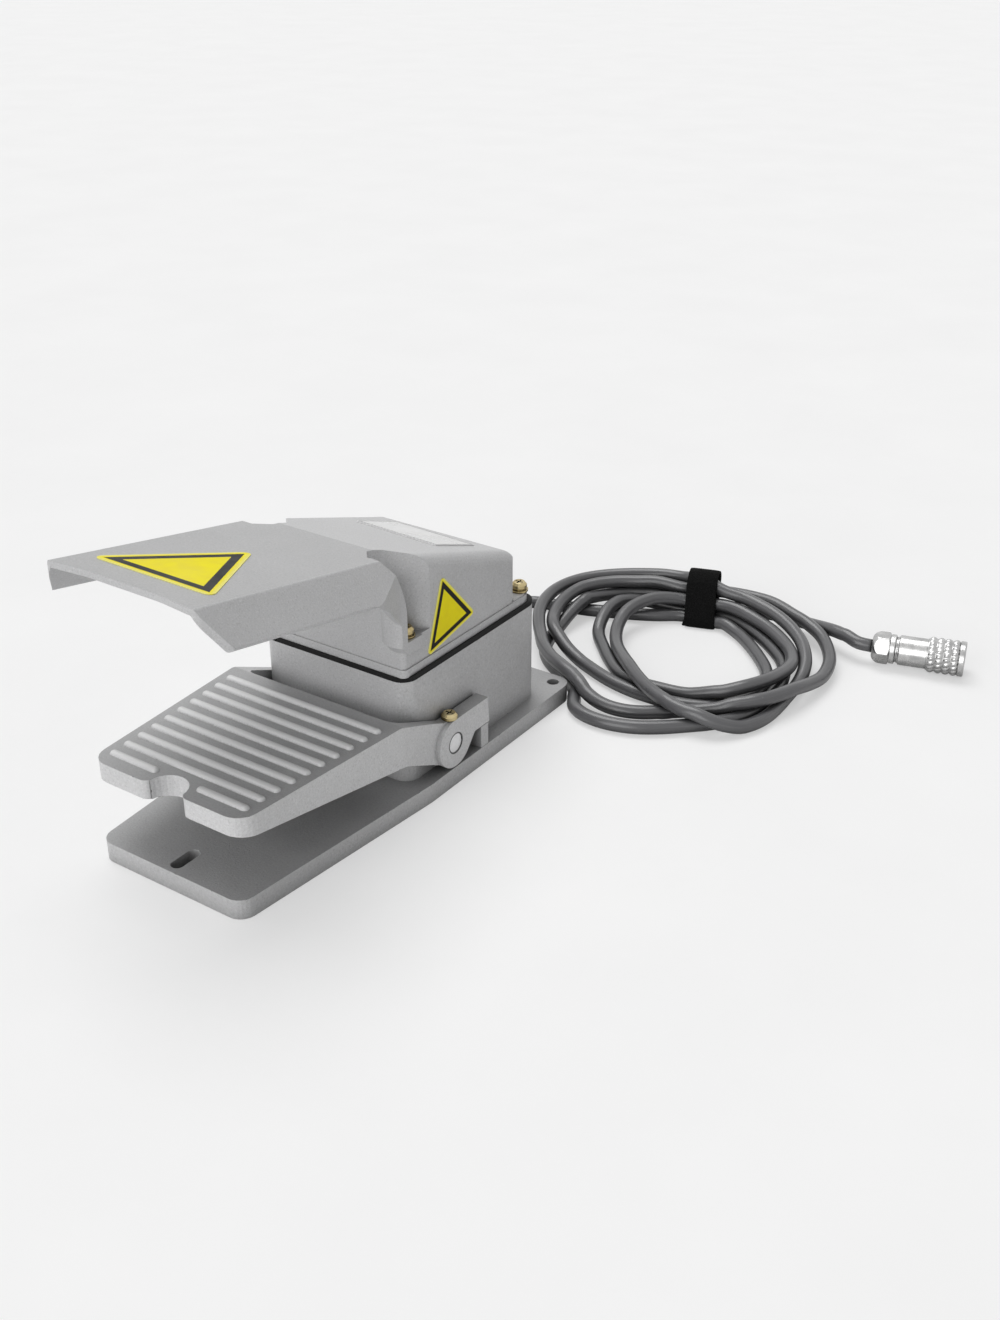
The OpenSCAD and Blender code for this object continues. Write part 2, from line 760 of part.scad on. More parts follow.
sticker_t = 0.3;
hood_sticker_side = 70;
hood_sticker_y = hood_front_y + 37.35;
side_sticker_side = 40;
side_sticker_tilt = 12;
side_sticker_at = [cover_front_y + 34.8, cover_z + 19.3];

// Equal-sided triangle with rounded corners, point up, centred
module triangle(side, r) {
    polygon(rounded([for (k = [0:2]) [side / sqrt(3) * cos(90 + 120 * k), side / sqrt(3) * sin(90 + 120 * k), r]]));
}

module hood_sticker() {
    color(sign_yellow)
        translate([0, hood_sticker_y, hood_at(hood_sticker_y)])
            rotate([-hood_rise, 0, 0])
                linear_extrude(sticker_t) triangle(hood_sticker_side, 3);
}

module side_sticker() {
    color(sign_yellow)
        translate([cover_half, side_sticker_at[0], side_sticker_at[1]])
            rotate([90, 0, 90])
                linear_extrude(sticker_t) rotate(side_sticker_tilt) triangle(side_sticker_side, 2);
}

// ---------- pivot ----------

module shaft_bushes() {
    color(brass_colour)
        both_hands()
            translate([half_x - bush_len, pivot_y, pivot_z])
                sideways()
                    difference() {
                        union() {
                            cylinder(d = bush_d, h = bush_len);
                            translate([0, 0, -1.5]) cylinder(d = bush_d + 3, h = 1.5);
                        }
                        translate([0, 0, -2 * cut])
                            cylinder(d = shaft_d + 2 * fit_gap, h = bush_len + 3 * cut);
                    }
}

module shaft_seals() {
    color(black_rubber)
        both_hands()
            translate([half_x, pivot_y, pivot_z])
                sideways()
                    difference() {
                        cylinder(d = bush_d + 1, h = seal_t);
                        translate([0, 0, -cut])
                            cylinder(d = shaft_d + 2 * fit_gap, h = seal_t + 2 * cut);
                    }
}

module pivot_shaft() {
    color(steel_bright)
        translate([-boss_out + 0.3, pivot_y, pivot_z])
            sideways() {
                cylinder(d = shaft_d, h = 2 * boss_out - 0.6);
            }
}

// ---------- treadle ----------

notch_y = tread_front_y + notch_depth;
lip_r = 4;

// Plan of the right half, from the notch round the toe and along the side and arm
tread_corners = [[notch_w / 2, notch_y, notch_w / 2 - 0.1], [notch_w / 2, tread_front_y, lip_r],
    [tread_front_w / 2, tread_front_y, 10], [tread_rear_w / 2, tread_rear_y, 14],
    [arm_out, 1, 20], [arm_out, pivot_y, 0], [arm_in, pivot_y, 0], [arm_in, tread_rear_y, 6]];
arm_low_z = pivot_z - boss_r + 4;

// Side view of tread and arms
tread_side = [[tread_front_y, tread_z - tread_edge_h, 0], [tread_front_y, tread_z, 0],
    [tread_rear_y - 1.5, tread_z, 10], [pivot_y - 5.5, tail_top_z, 4],
    [pivot_y, tail_top_z, 0], [pivot_y, pivot_z - boss_r + 1, 0], [pivot_y - 9, arm_low_z, 0],
    [tread_rear_y + 1, tread_z - tread_side_h, 10]];

rib_row_shift = 0.9; // how far the row of ribs lies in front of the tread's middle
rib_row_y = (tread_front_y + tread_rear_y) / 2 - rib_row_shift; // middle of the row of ribs

module tread_ribs() {
    for (i = [0:rib_count - 1]) {
        y = rib_row_y + ((rib_count - 1) / 2 - i) * rib_pitch;
        reach = tread_half(y) - rib_margin;
        split = y < notch_y + 2 * rib_r;
        for (side = split ? [-1, 1] : [0]) {
            inner = split ? notch_w / 2 + lip_r : -reach;
            start = side == -1 ? -reach : inner;
            translate([start, y, tread_z + rib_h - rib_r])
                sideways() cylinder(r = rib_r, h = reach - inner, $fn = 24);
            for (x = [start, start + reach - inner])
                translate([x, y, tread_z + rib_h - rib_r]) sphere(r = rib_r, $fn = 24);
        }
    }
}

web = 4;

// Hollows under the tread, either side of a middle web
module tread_hollows() {
    mid_y = (notch_y + tread_rear_y) / 2;
    both_hands()
        for (span = [[notch_y + 2 * web, mid_y - web / 2], [mid_y + web / 2, tread_rear_y - 2 * web]])
            translate([0, 0, -cut])
                linear_extrude(tread_z - tread_t + cut)
                    polygon(rounded([[web / 2, span[0], 2], [tread_half(span[0]) - 2 * web, span[0], 6],
                        [tread_half(span[1]) - 2 * web, span[1], 6], [web / 2, span[1], 2]]));
}

// Round boss and tail of one arm
module arm_boss() {
    translate([arm_in, pivot_y, pivot_z])
        sideways() cylinder(r = boss_r, h = boss_t);
    across(arm_in, boss_out)
        polygon([[pivot_y, tail_top_z], [tail_end_y, tail_top_z], [tail_end_y + 1, tail_low_z],
            [pivot_y + boss_r + 3, tail_low_z], [pivot_y + boss_r * 0.8, pivot_z - boss_r * 0.6],
            [pivot_y, pivot_z]]);
}

set_screw_x = arm_in + boss_t / 2;

module treadle() {
    color(cast_grey)
        difference() {
            union() {
                difference() {
                    intersection() {
                        linear_extrude(2 * tread_z)
                            polygon(rounded(both_sides(tread_corners)));
                        across(-base_w, base_w)
                            polygon(rounded(tread_side));
                    }
                    tread_hollows();
                }
                tread_ribs();
                both_hands() arm_boss();
            }
            translate([-base_w, pivot_y, pivot_z])
                sideways() cylinder(d = shaft_d + 2 * fit_gap, h = 2 * base_w);
            both_hands()
                translate([set_screw_x, pivot_y, pivot_z])
                    cylinder(d = set_screw_d + 2 * fit_gap, h = boss_r + 3);
        }
}

module treadle_set_screws() {
    color(zinc_yellow)
        both_hands()
            translate([set_screw_x, pivot_y, tail_top_z + 0.1])
                pan_screw(set_screw_d, boss_r - shaft_d / 2, set_screw_d + 3.2, 3);
}

// ---------- switch gear in the box ----------

lever_end_y = spring_y + spring_d / 2 + 1;

module cam_lever() {
    color(steel_bright)
        difference() {
            union() {
                translate([-lever_w / 2, pivot_y, pivot_z])
                    sideways() cylinder(r = hub_r, h = lever_w);
                translate([-lever_w / 2, pivot_y, lever_top_z - lever_t])
                    cube([lever_w, lever_end_y - pivot_y, lever_t]);
                translate([-lever_w / 2, plunger_y - 2.5, lever_top_z - cut])
                    cube([lever_w, 5, bump_h + cut]);
                translate([0, spring_y, lever_top_z - cut])
                    cylinder(d = spring_d - 2 * spring_wire - 1.5, h = 2 + cut);
            }
            translate([-lever_w, pivot_y, pivot_z])
                sideways() cylinder(d = shaft_d + 2 * fit_gap, h = 2 * lever_w);
            translate([0, pivot_y, pivot_z])
                rotate([90, 0, 0]) cylinder(d = screw_d + 2 * fit_gap, h = hub_r + cut);
        }
}

module cam_screw() {
    color(zinc_yellow)
        translate([0, pivot_y - hub_r - 0.1, pivot_z])
            rotate([90, 0, 0])
                pan_screw(screw_d, hub_r - shaft_d / 2, screw_head_d - 1, screw_head_h);
}

coil_r = (spring_d - spring_wire) / 2;
spring_steps = 12;

module return_spring() {
    low = spring_low_z + spring_wire / 2;
    high = spring_top_z - spring_wire / 2;
    steps = spring_turns * spring_steps;
    color(steel_bright)
        tube([for (k = [0:steps]) [coil_r * cos(k * 360 / spring_steps),
            spring_y + coil_r * sin(k * 360 / spring_steps), low + (high - low) * k / steps]],
            spring_wire / 2, 8);
}

switch_hole_y = [switch_front_y + 3, switch_front_y + switch_len - 3];
switch_hole_z = switch_low_z + 3;
switch_screw_d = 3;

module micro_switch() {
    color(black_plastic)
        difference() {
            union() {
                translate([switch_x - switch_t / 2, switch_front_y, switch_low_z])
                    cube([switch_t, switch_len, switch_h]);
                for (y = [4, switch_len / 2, switch_len - 4])
                    translate([switch_x - 2, switch_front_y + y - 0.4, switch_low_z + switch_h - cut])
                        cube([4, 0.8, 6 + cut]);
            }
            translate([switch_x, plunger_y, switch_low_z - cut])
                cylinder(d = plunger_d + 0.2, h = 8 + cut);
            for (y = switch_hole_y)
                translate([switch_x - switch_t, y, switch_hole_z])
                    sideways() cylinder(d = switch_screw_d + 2 * fit_gap, h = 2 * switch_t);
        }
}

module switch_plunger() {
    color("firebrick")
        translate([switch_x, plunger_y, plunger_low_z]) {
            translate([0, 0, 1])
                cylinder(d = plunger_d, h = plunger_out + 3);
            cylinder(d1 = plunger_d - 1, d2 = plunger_d, h = 1);
        }
}

module switch_bracket() {
    color(steel_bright)
        difference() {
            union() {
                translate([bracket_x, bracket_front_y, box_floor])
                    cube([bracket_t, bracket_rear_y - bracket_front_y, bracket_top_z - box_floor + bracket_t]);
                translate([bracket_x, bracket_front_y, box_floor])
                    cube([bracket_t + bracket_foot, bracket_rear_y - bracket_front_y, bracket_t]);
                translate([-lever_w / 2, spring_y - spring_d / 2 - 1, bracket_top_z])
                    cube([lever_w / 2 + bracket_x + bracket_t, spring_d + 2, bracket_t]);
                translate([0, spring_y, bracket_top_z - 4])
                    cylinder(d = spring_d - 2 * spring_wire - 1.5, h = 4 + bracket_t / 2);
            }
            for (y = switch_hole_y)
                translate([bracket_x - cut, y, switch_hole_z])
                    sideways() cylinder(d = switch_screw_d + 2 * fit_gap, h = bracket_t + 2 * cut);
            for (y = bracket_holes_y)
                translate([bracket_hole_x, y, box_floor - cut])
                    cylinder(d = 3 + 2 * fit_gap, h = bracket_t + 2 * cut);
        }
}

module bracket_screws() {
    color(steel_bright)
        for (y = bracket_holes_y)
            translate([bracket_hole_x, y, box_floor + bracket_t])
                pan_screw(3, bracket_t + 4, 6, 2.2);
}

module switch_screws() {
    color(steel_bright)
        for (y = switch_hole_y)
            translate([switch_x - switch_t / 2, y, switch_hole_z])
                rotate([0, -90, 0])
                    pan_screw(switch_screw_d, switch_t + bracket_t + 1, 5.5, 2);
}

module terminal_block() {
    color("ivory")
        difference() {
            translate([block_x - block_w / 2, block_y - block_d / 2, box_floor])
                cube([block_w, block_d, block_h]);
            for (p = [-1:1])
                translate([block_x + p * pole_pitch, block_y - block_d, box_floor + 7])
                    backwards() cylinder(d = 3.4, h = 2 * block_d);
            for (p = [-1:1])
                translate([block_x + p * pole_pitch, block_y, box_floor + 7])
                    cylinder(d = 4.6, h = block_h);
            for (x = block_screws_x)
                translate([x, block_y, box_floor - cut])
                    cylinder(d = 3 + 2 * fit_gap, h = block_h + 2 * cut);
        }
}

module terminal_screws() {
    color(steel_bright) {
        for (p = [-1:1])
            translate([block_x + p * pole_pitch, block_y, box_floor + 9])
                difference() {
                    cylinder(d = 4.4, h = 4);
                    translate([-3, -0.4, 3]) cube([6, 0.8, 2]);
                }
        for (x = block_screws_x)
            translate([x, block_y, box_floor + block_h])
                pan_screw(3, block_h + 4, 5, 2);
    }
}

module earth_screw() {
    color(brass_colour)
        translate([earth_x, earth_y, box_floor + earth_boss_h])
            pan_screw(screw_d, earth_boss_h - 0.5, screw_head_d, screw_head_h);
}

entry_end_y = wall_in_y - 13;
lead_r = 0.9;
lead_z = box_floor + 7;

module inner_leads() {
    blade_z = switch_low_z + switch_h + 3;
    color("steelblue") {
        for (p = [-1:1])
            tube(smooth([[gland_x + p * 2.2, entry_end_y, gland_z], [gland_x + p * 2.2, entry_end_y - 2, gland_z],
                [gland_x + p * 2.2, entry_end_y - 4, gland_z],
                [block_x + p * pole_pitch, block_y + block_d / 2 + 6, lead_z + 4],
                [block_x + p * pole_pitch, block_y + block_d / 2 + 1, lead_z],
                [block_x + p * pole_pitch, block_y + 4, lead_z]], 3), lead_r, 8);
        for (p = [0, 1]) {
            blade_y = switch_front_y + 4 + p * (switch_len / 2 - 4);
            tube(smooth([[block_x + p * pole_pitch, block_y - 4, lead_z],
                [block_x + p * pole_pitch, block_y - block_d / 2 - 1, lead_z],
                [block_x + p * pole_pitch, block_y - block_d / 2 - 6, lead_z + 3],
                [block_x + 12, blade_y + 4, blade_z - 6], [switch_x - 10, blade_y, blade_z],
                [switch_x - 6, blade_y, blade_z], [switch_x - 2, blade_y, blade_z]], 3), lead_r, 8);
        }
    }
}

// ---------- gland and cable ----------

lock_nut_h = 5;
thread_back = wall_in_y - lock_nut_h - 3;

module gland_body() {
    color(black_plastic)
        translate([gland_x, 0, gland_z])
            difference() {
                union() {
                    translate([0, thread_back, 0])
                        backwards() cylinder(d = gland_d, h = box_rear_y - thread_back + cut);
                    translate([0, box_rear_y, 0])
                        backwards() hex_bar(gland_hex, gland_face_y - box_rear_y);
                    translate([0, gland_face_y - cut, 0])
                        backwards() cylinder(d = gland_thread_d, h = gland_thread_len + cut);
                }
                translate([0, thread_back - cut, 0])
                    backwards() cylinder(d = cable_d + 2, h = base_len);
                translate([0, gland_face_y, 0])
                    backwards() cylinder(d = gland_thread_d - 4, h = base_len);
            }
}

module gland_seal() {
    color(black_rubber)
        translate([gland_x, gland_face_y + 0.1, gland_z])
            backwards()
                difference() {
                    cylinder(d = gland_thread_d - 4 - 2 * fit_gap, h = gland_thread_len - 0.4);
                    translate([0, 0, -cut])
                        cylinder(d = cable_d + 2 * fit_gap, h = gland_thread_len + 2 * cut);
                }
}

module gland_lock_nut() {
    color(black_plastic)
        translate([gland_x, wall_in_y - lock_nut_h, gland_z])
            backwards()
                difference() {
                    hex_bar(gland_hex, lock_nut_h);
                    translate([0, 0, -cut]) cylinder(d = gland_d + 2 * fit_gap, h = lock_nut_h + 2 * cut);
                }
}

module gland_nut() {
    socket = gland_thread_len + rest_gap;
    color(black_plastic)
        translate([gland_x, gland_face_y, gland_z])
            backwards()
                difference() {
                    union() {
                        hex_bar(gland_hex - 1.5, socket);
                        translate([0, 0, socket])
                            cylinder(d1 = gland_thread_d + 3, d2 = cable_d + 5, h = gland_nut_len - socket);
                    }
                    translate([0, 0, -cut])
                        cylinder(d = gland_thread_d + 2 * fit_gap, h = socket + cut);
                    cylinder(d = cable_d + 0.6, h = gland_nut_len + cut);
                }
}

module cable_entry() {
    color(cable_grey)
        translate([gland_x, entry_end_y, gland_z])
            backwards() cylinder(d = cable_d, h = gland_mouth_y - entry_end_y);
}

// Route of the cable from the gland to the coil
lead_route = [[gland_x, gland_mouth_y, gland_z], [gland_x, gland_mouth_y + 6, gland_z],
    [gland_x, gland_mouth_y + 12, gland_z], [-22, 152, 30], [-29, 164, 20], [-35, 178, 10],
    [-37, 190, 5], [-33, 202, cable_r], [-24, 211, cable_r], [-14, 216, cable_r], [-4, 217, cable_r]];

module cable_lead() {
    color(cable_grey)
        tube(smooth(lead_route, 2), cable_r, 12);
}

// Outer and inner outline of the loose coil, and the middle of its tie
coil_outer = [[-10, 262, 66], [116, 272, 60], [168, 232, 50], [166, 126, 24], [118, 122, 20], [96, 96, 20],
    [64, 94, 12], [55, 130, 16], [-10, 158, 40]];
coil_inner = [[44, 236, 30], [112, 234, 30], [138, 196, 30], [130, 148, 24], [64, 156, 24], [44, 176, 20]];
tie_at = [67, 247];
tie_turn = 15;
tie_depth = 34;

module tie_block(side_gap, h) {
    translate([tie_at[0], tie_at[1], 0])
        rotate([0, 0, tie_turn])
            translate([-tie_w / 2 - side_gap, -tie_depth / 2 - side_gap, 0])
                cube([tie_w + 2 * side_gap, tie_depth + 2 * side_gap, h]);
}

module cable_coil() {
    color(cable_grey)
        difference() {
            linear_extrude(coil_h)
                difference() {
                    polygon(rounded(coil_outer));
                    polygon(rounded(coil_inner));
                }
            translate([0, 0, -cut]) tie_block(rest_gap, coil_h + 2 * cut);
        }
}

module cable_tie() {
    color(black_rubber)
        tie_block(0, coil_h + 2);
}

connector_turn = 15.7;
connector_at = [172.7, 255.9, sleeve_d / 2];
connector_dir = [cos(connector_turn), sin(connector_turn), 0];
tail_route = [[119, 267, 5], [130, 265, 7], [140, 261, 9], [148, 258, 10.5], [156, 255.5, 11.2],
    connector_at - 8 * connector_dir + [0, 0, 0.6], connector_at];

module cable_tail() {
    color(cable_grey)
        tube(smooth(tail_route, 2), cable_r, 12);
}

// Places a piece on the connector's axis; z runs from the cable to the mating end
module on_connector(z) {
    translate(connector_at)
        rotate([0, 0, connector_turn])
            sideways()
                translate([0, 0, z])
                    children();
}

collar_d = 15;
bore_d = barrel_d - 4;
connector_len = clamp_len + barrel_len + sleeve_len;

module connector_clamp_nut() {
    color(steel_bright)
        on_connector(0)
            difference() {
                union() {
                    cylinder(d1 = clamp_hex - 3, d2 = clamp_hex - 0.5, h = 3);
                    translate([0, 0, 3]) hex_bar(clamp_hex, clamp_len - 6);
                    translate([0, 0, clamp_len - 3]) cylinder(d = clamp_hex + 0.5, h = 3);
                }
                translate([0, 0, -cut]) cylinder(d = cable_d + 0.6, h = clamp_len + 2 * cut);
            }
}

module connector_shell() {
    color(steel_bright)
        on_connector(clamp_len)
            difference() {
                union() {
                    cylinder(d = collar_d, h = 1.2);
                    translate([0, 0, 1.2]) cylinder(d = barrel_d, h = barrel_len - 1.2);
                    translate([0, 0, barrel_len - cut])
                        cylinder(d = barrel_d - 1, h = sleeve_len - 1.5 + cut);
                }
                translate([0, 0, 4]) cylinder(d = bore_d, h = connector_len);
                translate([0, 0, -cut]) cylinder(d = cable_d + 0.6, h = 4 + 2 * cut);
            }
}

insert_len = barrel_len + 4;

module connector_insert() {
    color(black_plastic)
        on_connector(clamp_len + 4 + 0.1)
            difference() {
                cylinder(d = bore_d - 2 * fit_gap, h = insert_len);
                for (k = [0:4])
                    rotate([0, 0, 72 * k])
                        translate([3.6, 0, 2]) cylinder(d = 1.6 + 2 * fit_gap, h = insert_len, $fn = 24);
            }
}

module connector_contacts() {
    color(brass_colour)
        on_connector(clamp_len + 4 + 2.3)
            for (k = [0:4])
                rotate([0, 0, 72 * k])
                    translate([3.6, 0, 0]) cylinder(d = 1.6, h = insert_len + 4, $fn = 24);
}

// The locking sleeve slides back by its travel, so it starts that far from the barrel's shoulder
module locking_sleeve() {
    ring_count = 4;
    ring_pitch = (sleeve_len - sleeve_travel - 3) / ring_count;
    color(steel_bright)
        on_connector(clamp_len + barrel_len + sleeve_travel + rest_gap)
            difference() {
                union() {
                    cylinder(d = sleeve_d - 1.6, h = sleeve_len - sleeve_travel - rest_gap);
                    for (k = [0:ring_count - 1])
                        translate([0, 0, 0.4 + k * ring_pitch])
                            cylinder(d = sleeve_d, h = ring_pitch * 0.7);
                }
                translate([0, 0, -cut])
                    cylinder(d = barrel_d - 1 + 2 * fit_gap, h = sleeve_len + 2 * cut);
            }
}

base_housing();
cover_gasket();
cover_hood();
cover_screws();
cover_washers();
name_plate();
hood_sticker();
side_sticker();
shaft_bushes();
shaft_seals();
switch_bracket();
bracket_screws();
micro_switch();
switch_screws();
terminal_block();
terminal_screws();
earth_screw();
inner_leads();
gland_body();
gland_lock_nut();
gland_seal();
gland_nut();
cable_entry();
return_spring();
treadle();
pivot_shaft();
treadle_set_screws();
cam_lever();
cam_screw();
switch_plunger();
cable_lead();
cable_coil();
cable_tie();
cable_tail();
connector_clamp_nut();
connector_shell();
connector_insert();
connector_contacts();
locking_sleeve();
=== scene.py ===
# %% [markdown]
# # A guarded foot switch, dressed for its picture
#
# The real thing is a cast aluminium box on a long base plate. A forked treadle rocks
# round the box, a roofed cover with a toe hood shields the foot, and a grey cable lies
# beside it in five loose turns, held by a hook-and-loop tie and ended by a round
# plated connector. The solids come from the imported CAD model, in metres. This lesson
# gives them their enamel, rubber and metal, and makes the cable, the tie and the
# small bright parts as new surfaces.
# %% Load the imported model
import math

import bpy
import numpy as np
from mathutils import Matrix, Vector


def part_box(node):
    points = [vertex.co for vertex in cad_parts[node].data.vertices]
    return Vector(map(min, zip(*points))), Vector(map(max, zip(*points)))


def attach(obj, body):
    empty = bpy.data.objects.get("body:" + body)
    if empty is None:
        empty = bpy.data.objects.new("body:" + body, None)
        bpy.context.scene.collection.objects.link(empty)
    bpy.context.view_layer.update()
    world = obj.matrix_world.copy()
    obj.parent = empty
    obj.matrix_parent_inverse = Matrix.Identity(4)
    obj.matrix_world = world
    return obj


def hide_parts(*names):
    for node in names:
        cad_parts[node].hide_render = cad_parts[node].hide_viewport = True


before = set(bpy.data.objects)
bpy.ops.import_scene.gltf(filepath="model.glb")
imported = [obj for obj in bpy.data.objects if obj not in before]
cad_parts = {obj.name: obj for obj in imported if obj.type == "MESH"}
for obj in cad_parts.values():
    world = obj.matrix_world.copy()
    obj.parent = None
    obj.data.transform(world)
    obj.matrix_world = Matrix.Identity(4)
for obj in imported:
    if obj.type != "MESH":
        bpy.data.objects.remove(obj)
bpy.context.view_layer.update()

# %% [markdown]
# ## The camera
#
# The switch is seen from its toe end, from the right and from above. A camera is a
# point, two angles and a lens. The frame is 1000 by 1320 pixels, and a focal length of
# 1500 of those pixels is 1500 x 36 / 1320 = 40.9 mm on a 36 mm sensor, because the
# sensor is fitted to the longer side.
# %% Place the camera
FOCAL_PIXELS = 1500
FRAME_HEIGHT = 1320
SENSOR_MM = 36.0
CAMERA_AT = (0.4274, -0.4889, 0.4003)
CAMERA_DOWN = 27.77  # degrees below level
CAMERA_ROUND = 34.47  # degrees that its view is turned from +Y towards -X

camera_data = bpy.data.cameras.new("camera")
camera_data.sensor_width = SENSOR_MM
camera_data.lens = FOCAL_PIXELS * SENSOR_MM / FRAME_HEIGHT
camera_data.clip_start = 0.01
camera_data.clip_end = 50.0
camera = bpy.data.objects.new("camera", camera_data)
bpy.context.scene.collection.objects.link(camera)
camera.location = CAMERA_AT
camera.rotation_euler = (math.radians(90 - CAMERA_DOWN), 0, math.radians(CAMERA_ROUND))
bpy.context.scene.camera = camera
print("lens, mm:", round(camera_data.lens, 2))

# %% [markdown]
# ## Curves and tubes
#
# The cable is a round tube along a line. The line is a smooth curve through points
# that are given one by one, and the tube is a ring of points carried along it. Blender's
# own curves could draw both, but a line of numbers can be measured and pushed about
# before it gets its thickness.
# %% A smooth line with even steps
GAP_POINTS = 24  # points worked out from one given point to the next


def smooth_line(points, step):
    """A curve through points, with new points about step apart.

    Between points b and c, with a before and d after, the curve is
    ((-t^3+2t^2-t)a + (3t^3-5t^2+2)b + (-3t^3+4t^2+t)c + (t^3-t^2)d) / 2, for t from 0 to 1.
    """
    p = np.asarray(points, float)
    a = np.vstack([2 * p[0] - p[1], p[:-2]])
    b, c = p[:-1], p[1:]
    d = np.vstack([p[2:], 2 * p[-1] - p[-2]])
    t = np.linspace(0, 1, GAP_POINTS, endpoint=False)[None, :, None]
    a, b, c, d = (x[:, None, :] for x in (a, b, c, d))
    fine = ((-t**3 + 2 * t**2 - t) * a + (3 * t**3 - 5 * t**2 + 2) * b
            + (-3 * t**3 + 4 * t**2 + t) * c + (t**3 - t**2) * d) / 2
    return evenly(np.vstack([fine.reshape(-1, p.shape[1]), p[-1]]), step)


def evenly(line, step):
    """The same line with its points evenly spaced, step apart or a little less."""
    run = np.concatenate([[0], np.cumsum(np.linalg.norm(np.diff(line, axis=0), axis=1))])
    at = np.linspace(0, run[-1], int(math.ceil(run[-1] / step)) + 1)
    return np.stack([np.interp(at, run, line[:, k]) for k in range(line.shape[1])], axis=1)


def length_of(line):
    """Sum of the distances from point to point."""
    return float(np.linalg.norm(np.diff(line, axis=0), axis=1).sum())

# %% [markdown]
# ## The cable's way
#
# A coiled cable is one line of fixed length. The real one leaves the gland behind the
# box, drops to the floor, makes five loose turns through the tie and runs to its
# connector. It could be a spiral worked out by a rule, but a hand-wound coil is not
# regular: each turn wanders, and strands cross in long low humps. So the line is given
# as points, in millimetres, section by section.
# %% The points that the cable follows
# lead: out of the gland, down to the floor behind the box and along to the tie
LEAD = [
    (-18, 129, 36), (-18, 135, 36), (-18, 141, 36), (-22, 152, 30), (-29, 164, 20),
    (-35, 178, 10), (-37, 190, 5), (-33, 200, 3.8), (-24, 207, 3.8), (-14, 210, 3.8),
    (-3, 213, 3.8), (8, 216, 3.8), (20, 221, 3.8), (34, 227, 3.8), (46, 233.5, 3.8)
]
# turn 1: the innermost turn, flat on the floor, then up over the others on the left
TURN_1 = [
    (56.9, 241.2, 4), (68.5, 244.4, 4), (80.5, 246.2, 4.2), (86.3, 245, 5), (97.4, 239.5, 4),
    (108.4, 230.7, 3.8), (119.5, 220, 3.8), (129.7, 208.3, 3.8), (136, 196.9, 3.8),
    (138.5, 185, 3.8), (136.5, 172, 3.8), (129, 158, 3.8), (118, 149, 3.8), (102, 144, 3.8),
    (85.8, 143.3, 3.8), (76.1, 144.2, 3.8), (65.4, 146.5, 3.8), (54.2, 150.5, 3.8),
    (41.4, 156, 4), (28.4, 161.5, 6.5), (18.2, 167.4, 9.5), (11, 173, 11.2),
    (4.6, 182.2, 11.2), (0.5, 193.1, 12), (-1, 205.7, 13.5), (1.3, 218.5, 15),
    (7.2, 227.8, 15.5), (15.3, 235.8, 16), (25.9, 241.9, 17), (38.2, 246.9, 18.5)
]
# turn 2: the widest turn: over the next strand at the right, high on the left
TURN_2 = [
    (53.7, 251.1, 17.5), (64, 258.2, 16.5), (74.6, 264.3, 15), (86, 267, 14.5),
    (96.5, 268, 14), (109, 266.5, 13.5), (121, 262.5, 12.5), (132, 259.5, 11),
    (143.5, 252.5, 9.5), (153, 241, 8), (159, 228.5, 7), (161.8, 213, 6.5), (161, 199, 8),
    (158.5, 184, 10.5), (155.5, 172, 11.2), (151.8, 163, 11.2), (146, 155.5, 10.5),
    (139, 149.5, 8.5), (131, 145.2, 6), (122, 141.5, 4.2), (114, 137, 3.8), (106, 130.5, 3.8),
    (97.8, 124, 3.8), (89.2, 119.8, 3.8), (80, 118, 4), (71, 118.4, 5), (62, 121.2, 7),
    (53.5, 126.5, 9.5), (42.5, 131.5, 11.2), (31, 138.5, 11.2), (19.3, 148.8, 11.2),
    (9.5, 161, 11.2), (2.5, 170, 12), (-4.4, 181.1, 13.5), (-8.6, 192.2, 15), (-10.4, 205, 16),
    (-9, 217.4, 16.5), (-4.3, 228.4, 17), (3.1, 237.4, 17.5), (12.9, 245.3, 18),
    (24.5, 251.9, 18.5), (37.1, 257, 19)
]
# turn 3: down at the right, then a long hump across all the others at the front
TURN_3 = [
    (51.2, 258.6, 19.8), (64.6, 256.3, 23), (77.7, 254.8, 20), (91, 256, 18.5),
    (102, 254.6, 17.5), (113.5, 250.8, 16.8), (126, 244, 15.5), (138, 234, 13.5),
    (146.3, 222.3, 11), (150.8, 211.3, 8), (152.5, 200, 5), (153, 188, 3.8), (154, 174, 3.8),
    (154, 161, 3.8), (152, 150, 3.8), (147.8, 141, 4.2), (142, 134.2, 6.5), (135.5, 130, 9),
    (128, 128.2, 11), (120, 128.2, 11.2), (111, 130.3, 11.2), (102, 134, 11.2),
    (92.4, 139.2, 11.2), (80.6, 147.8, 11.2), (66.5, 160.6, 10.5), (52, 176.5, 8.5),
    (43, 190, 8.5), (38.2, 202, 10.5), (36.8, 213, 13), (39.3, 225, 14.5), (45.4, 235.5, 15)
]
# turn 4: the inner turn, which dips under the hump
TURN_4 = [
    (56, 244, 13.5), (67.4, 247.6, 12), (79.1, 250.5, 13), (90, 250, 13), (101.5, 247.5, 11.5),
    (114.4, 241.8, 10.5), (125.6, 234.3, 9.5), (135.6, 225, 8.5), (142.4, 214, 8),
    (145, 203, 8), (145, 190, 9.5), (143, 176, 11), (137, 163, 11), (128, 156, 8),
    (118, 152.5, 5), (107, 151, 3.8), (94, 151, 3.8), (80, 152, 3.8), (64.4, 157.5, 3.8),
    (51.4, 168.3, 3.8), (40.2, 180, 3.8), (31, 190.5, 5), (27.2, 199, 8), (24.9, 210, 10.8),
    (24.6, 220.5, 11.2), (27.8, 230.5, 10.5), (35.5, 239.5, 8.5), (44, 244, 6.5)
]
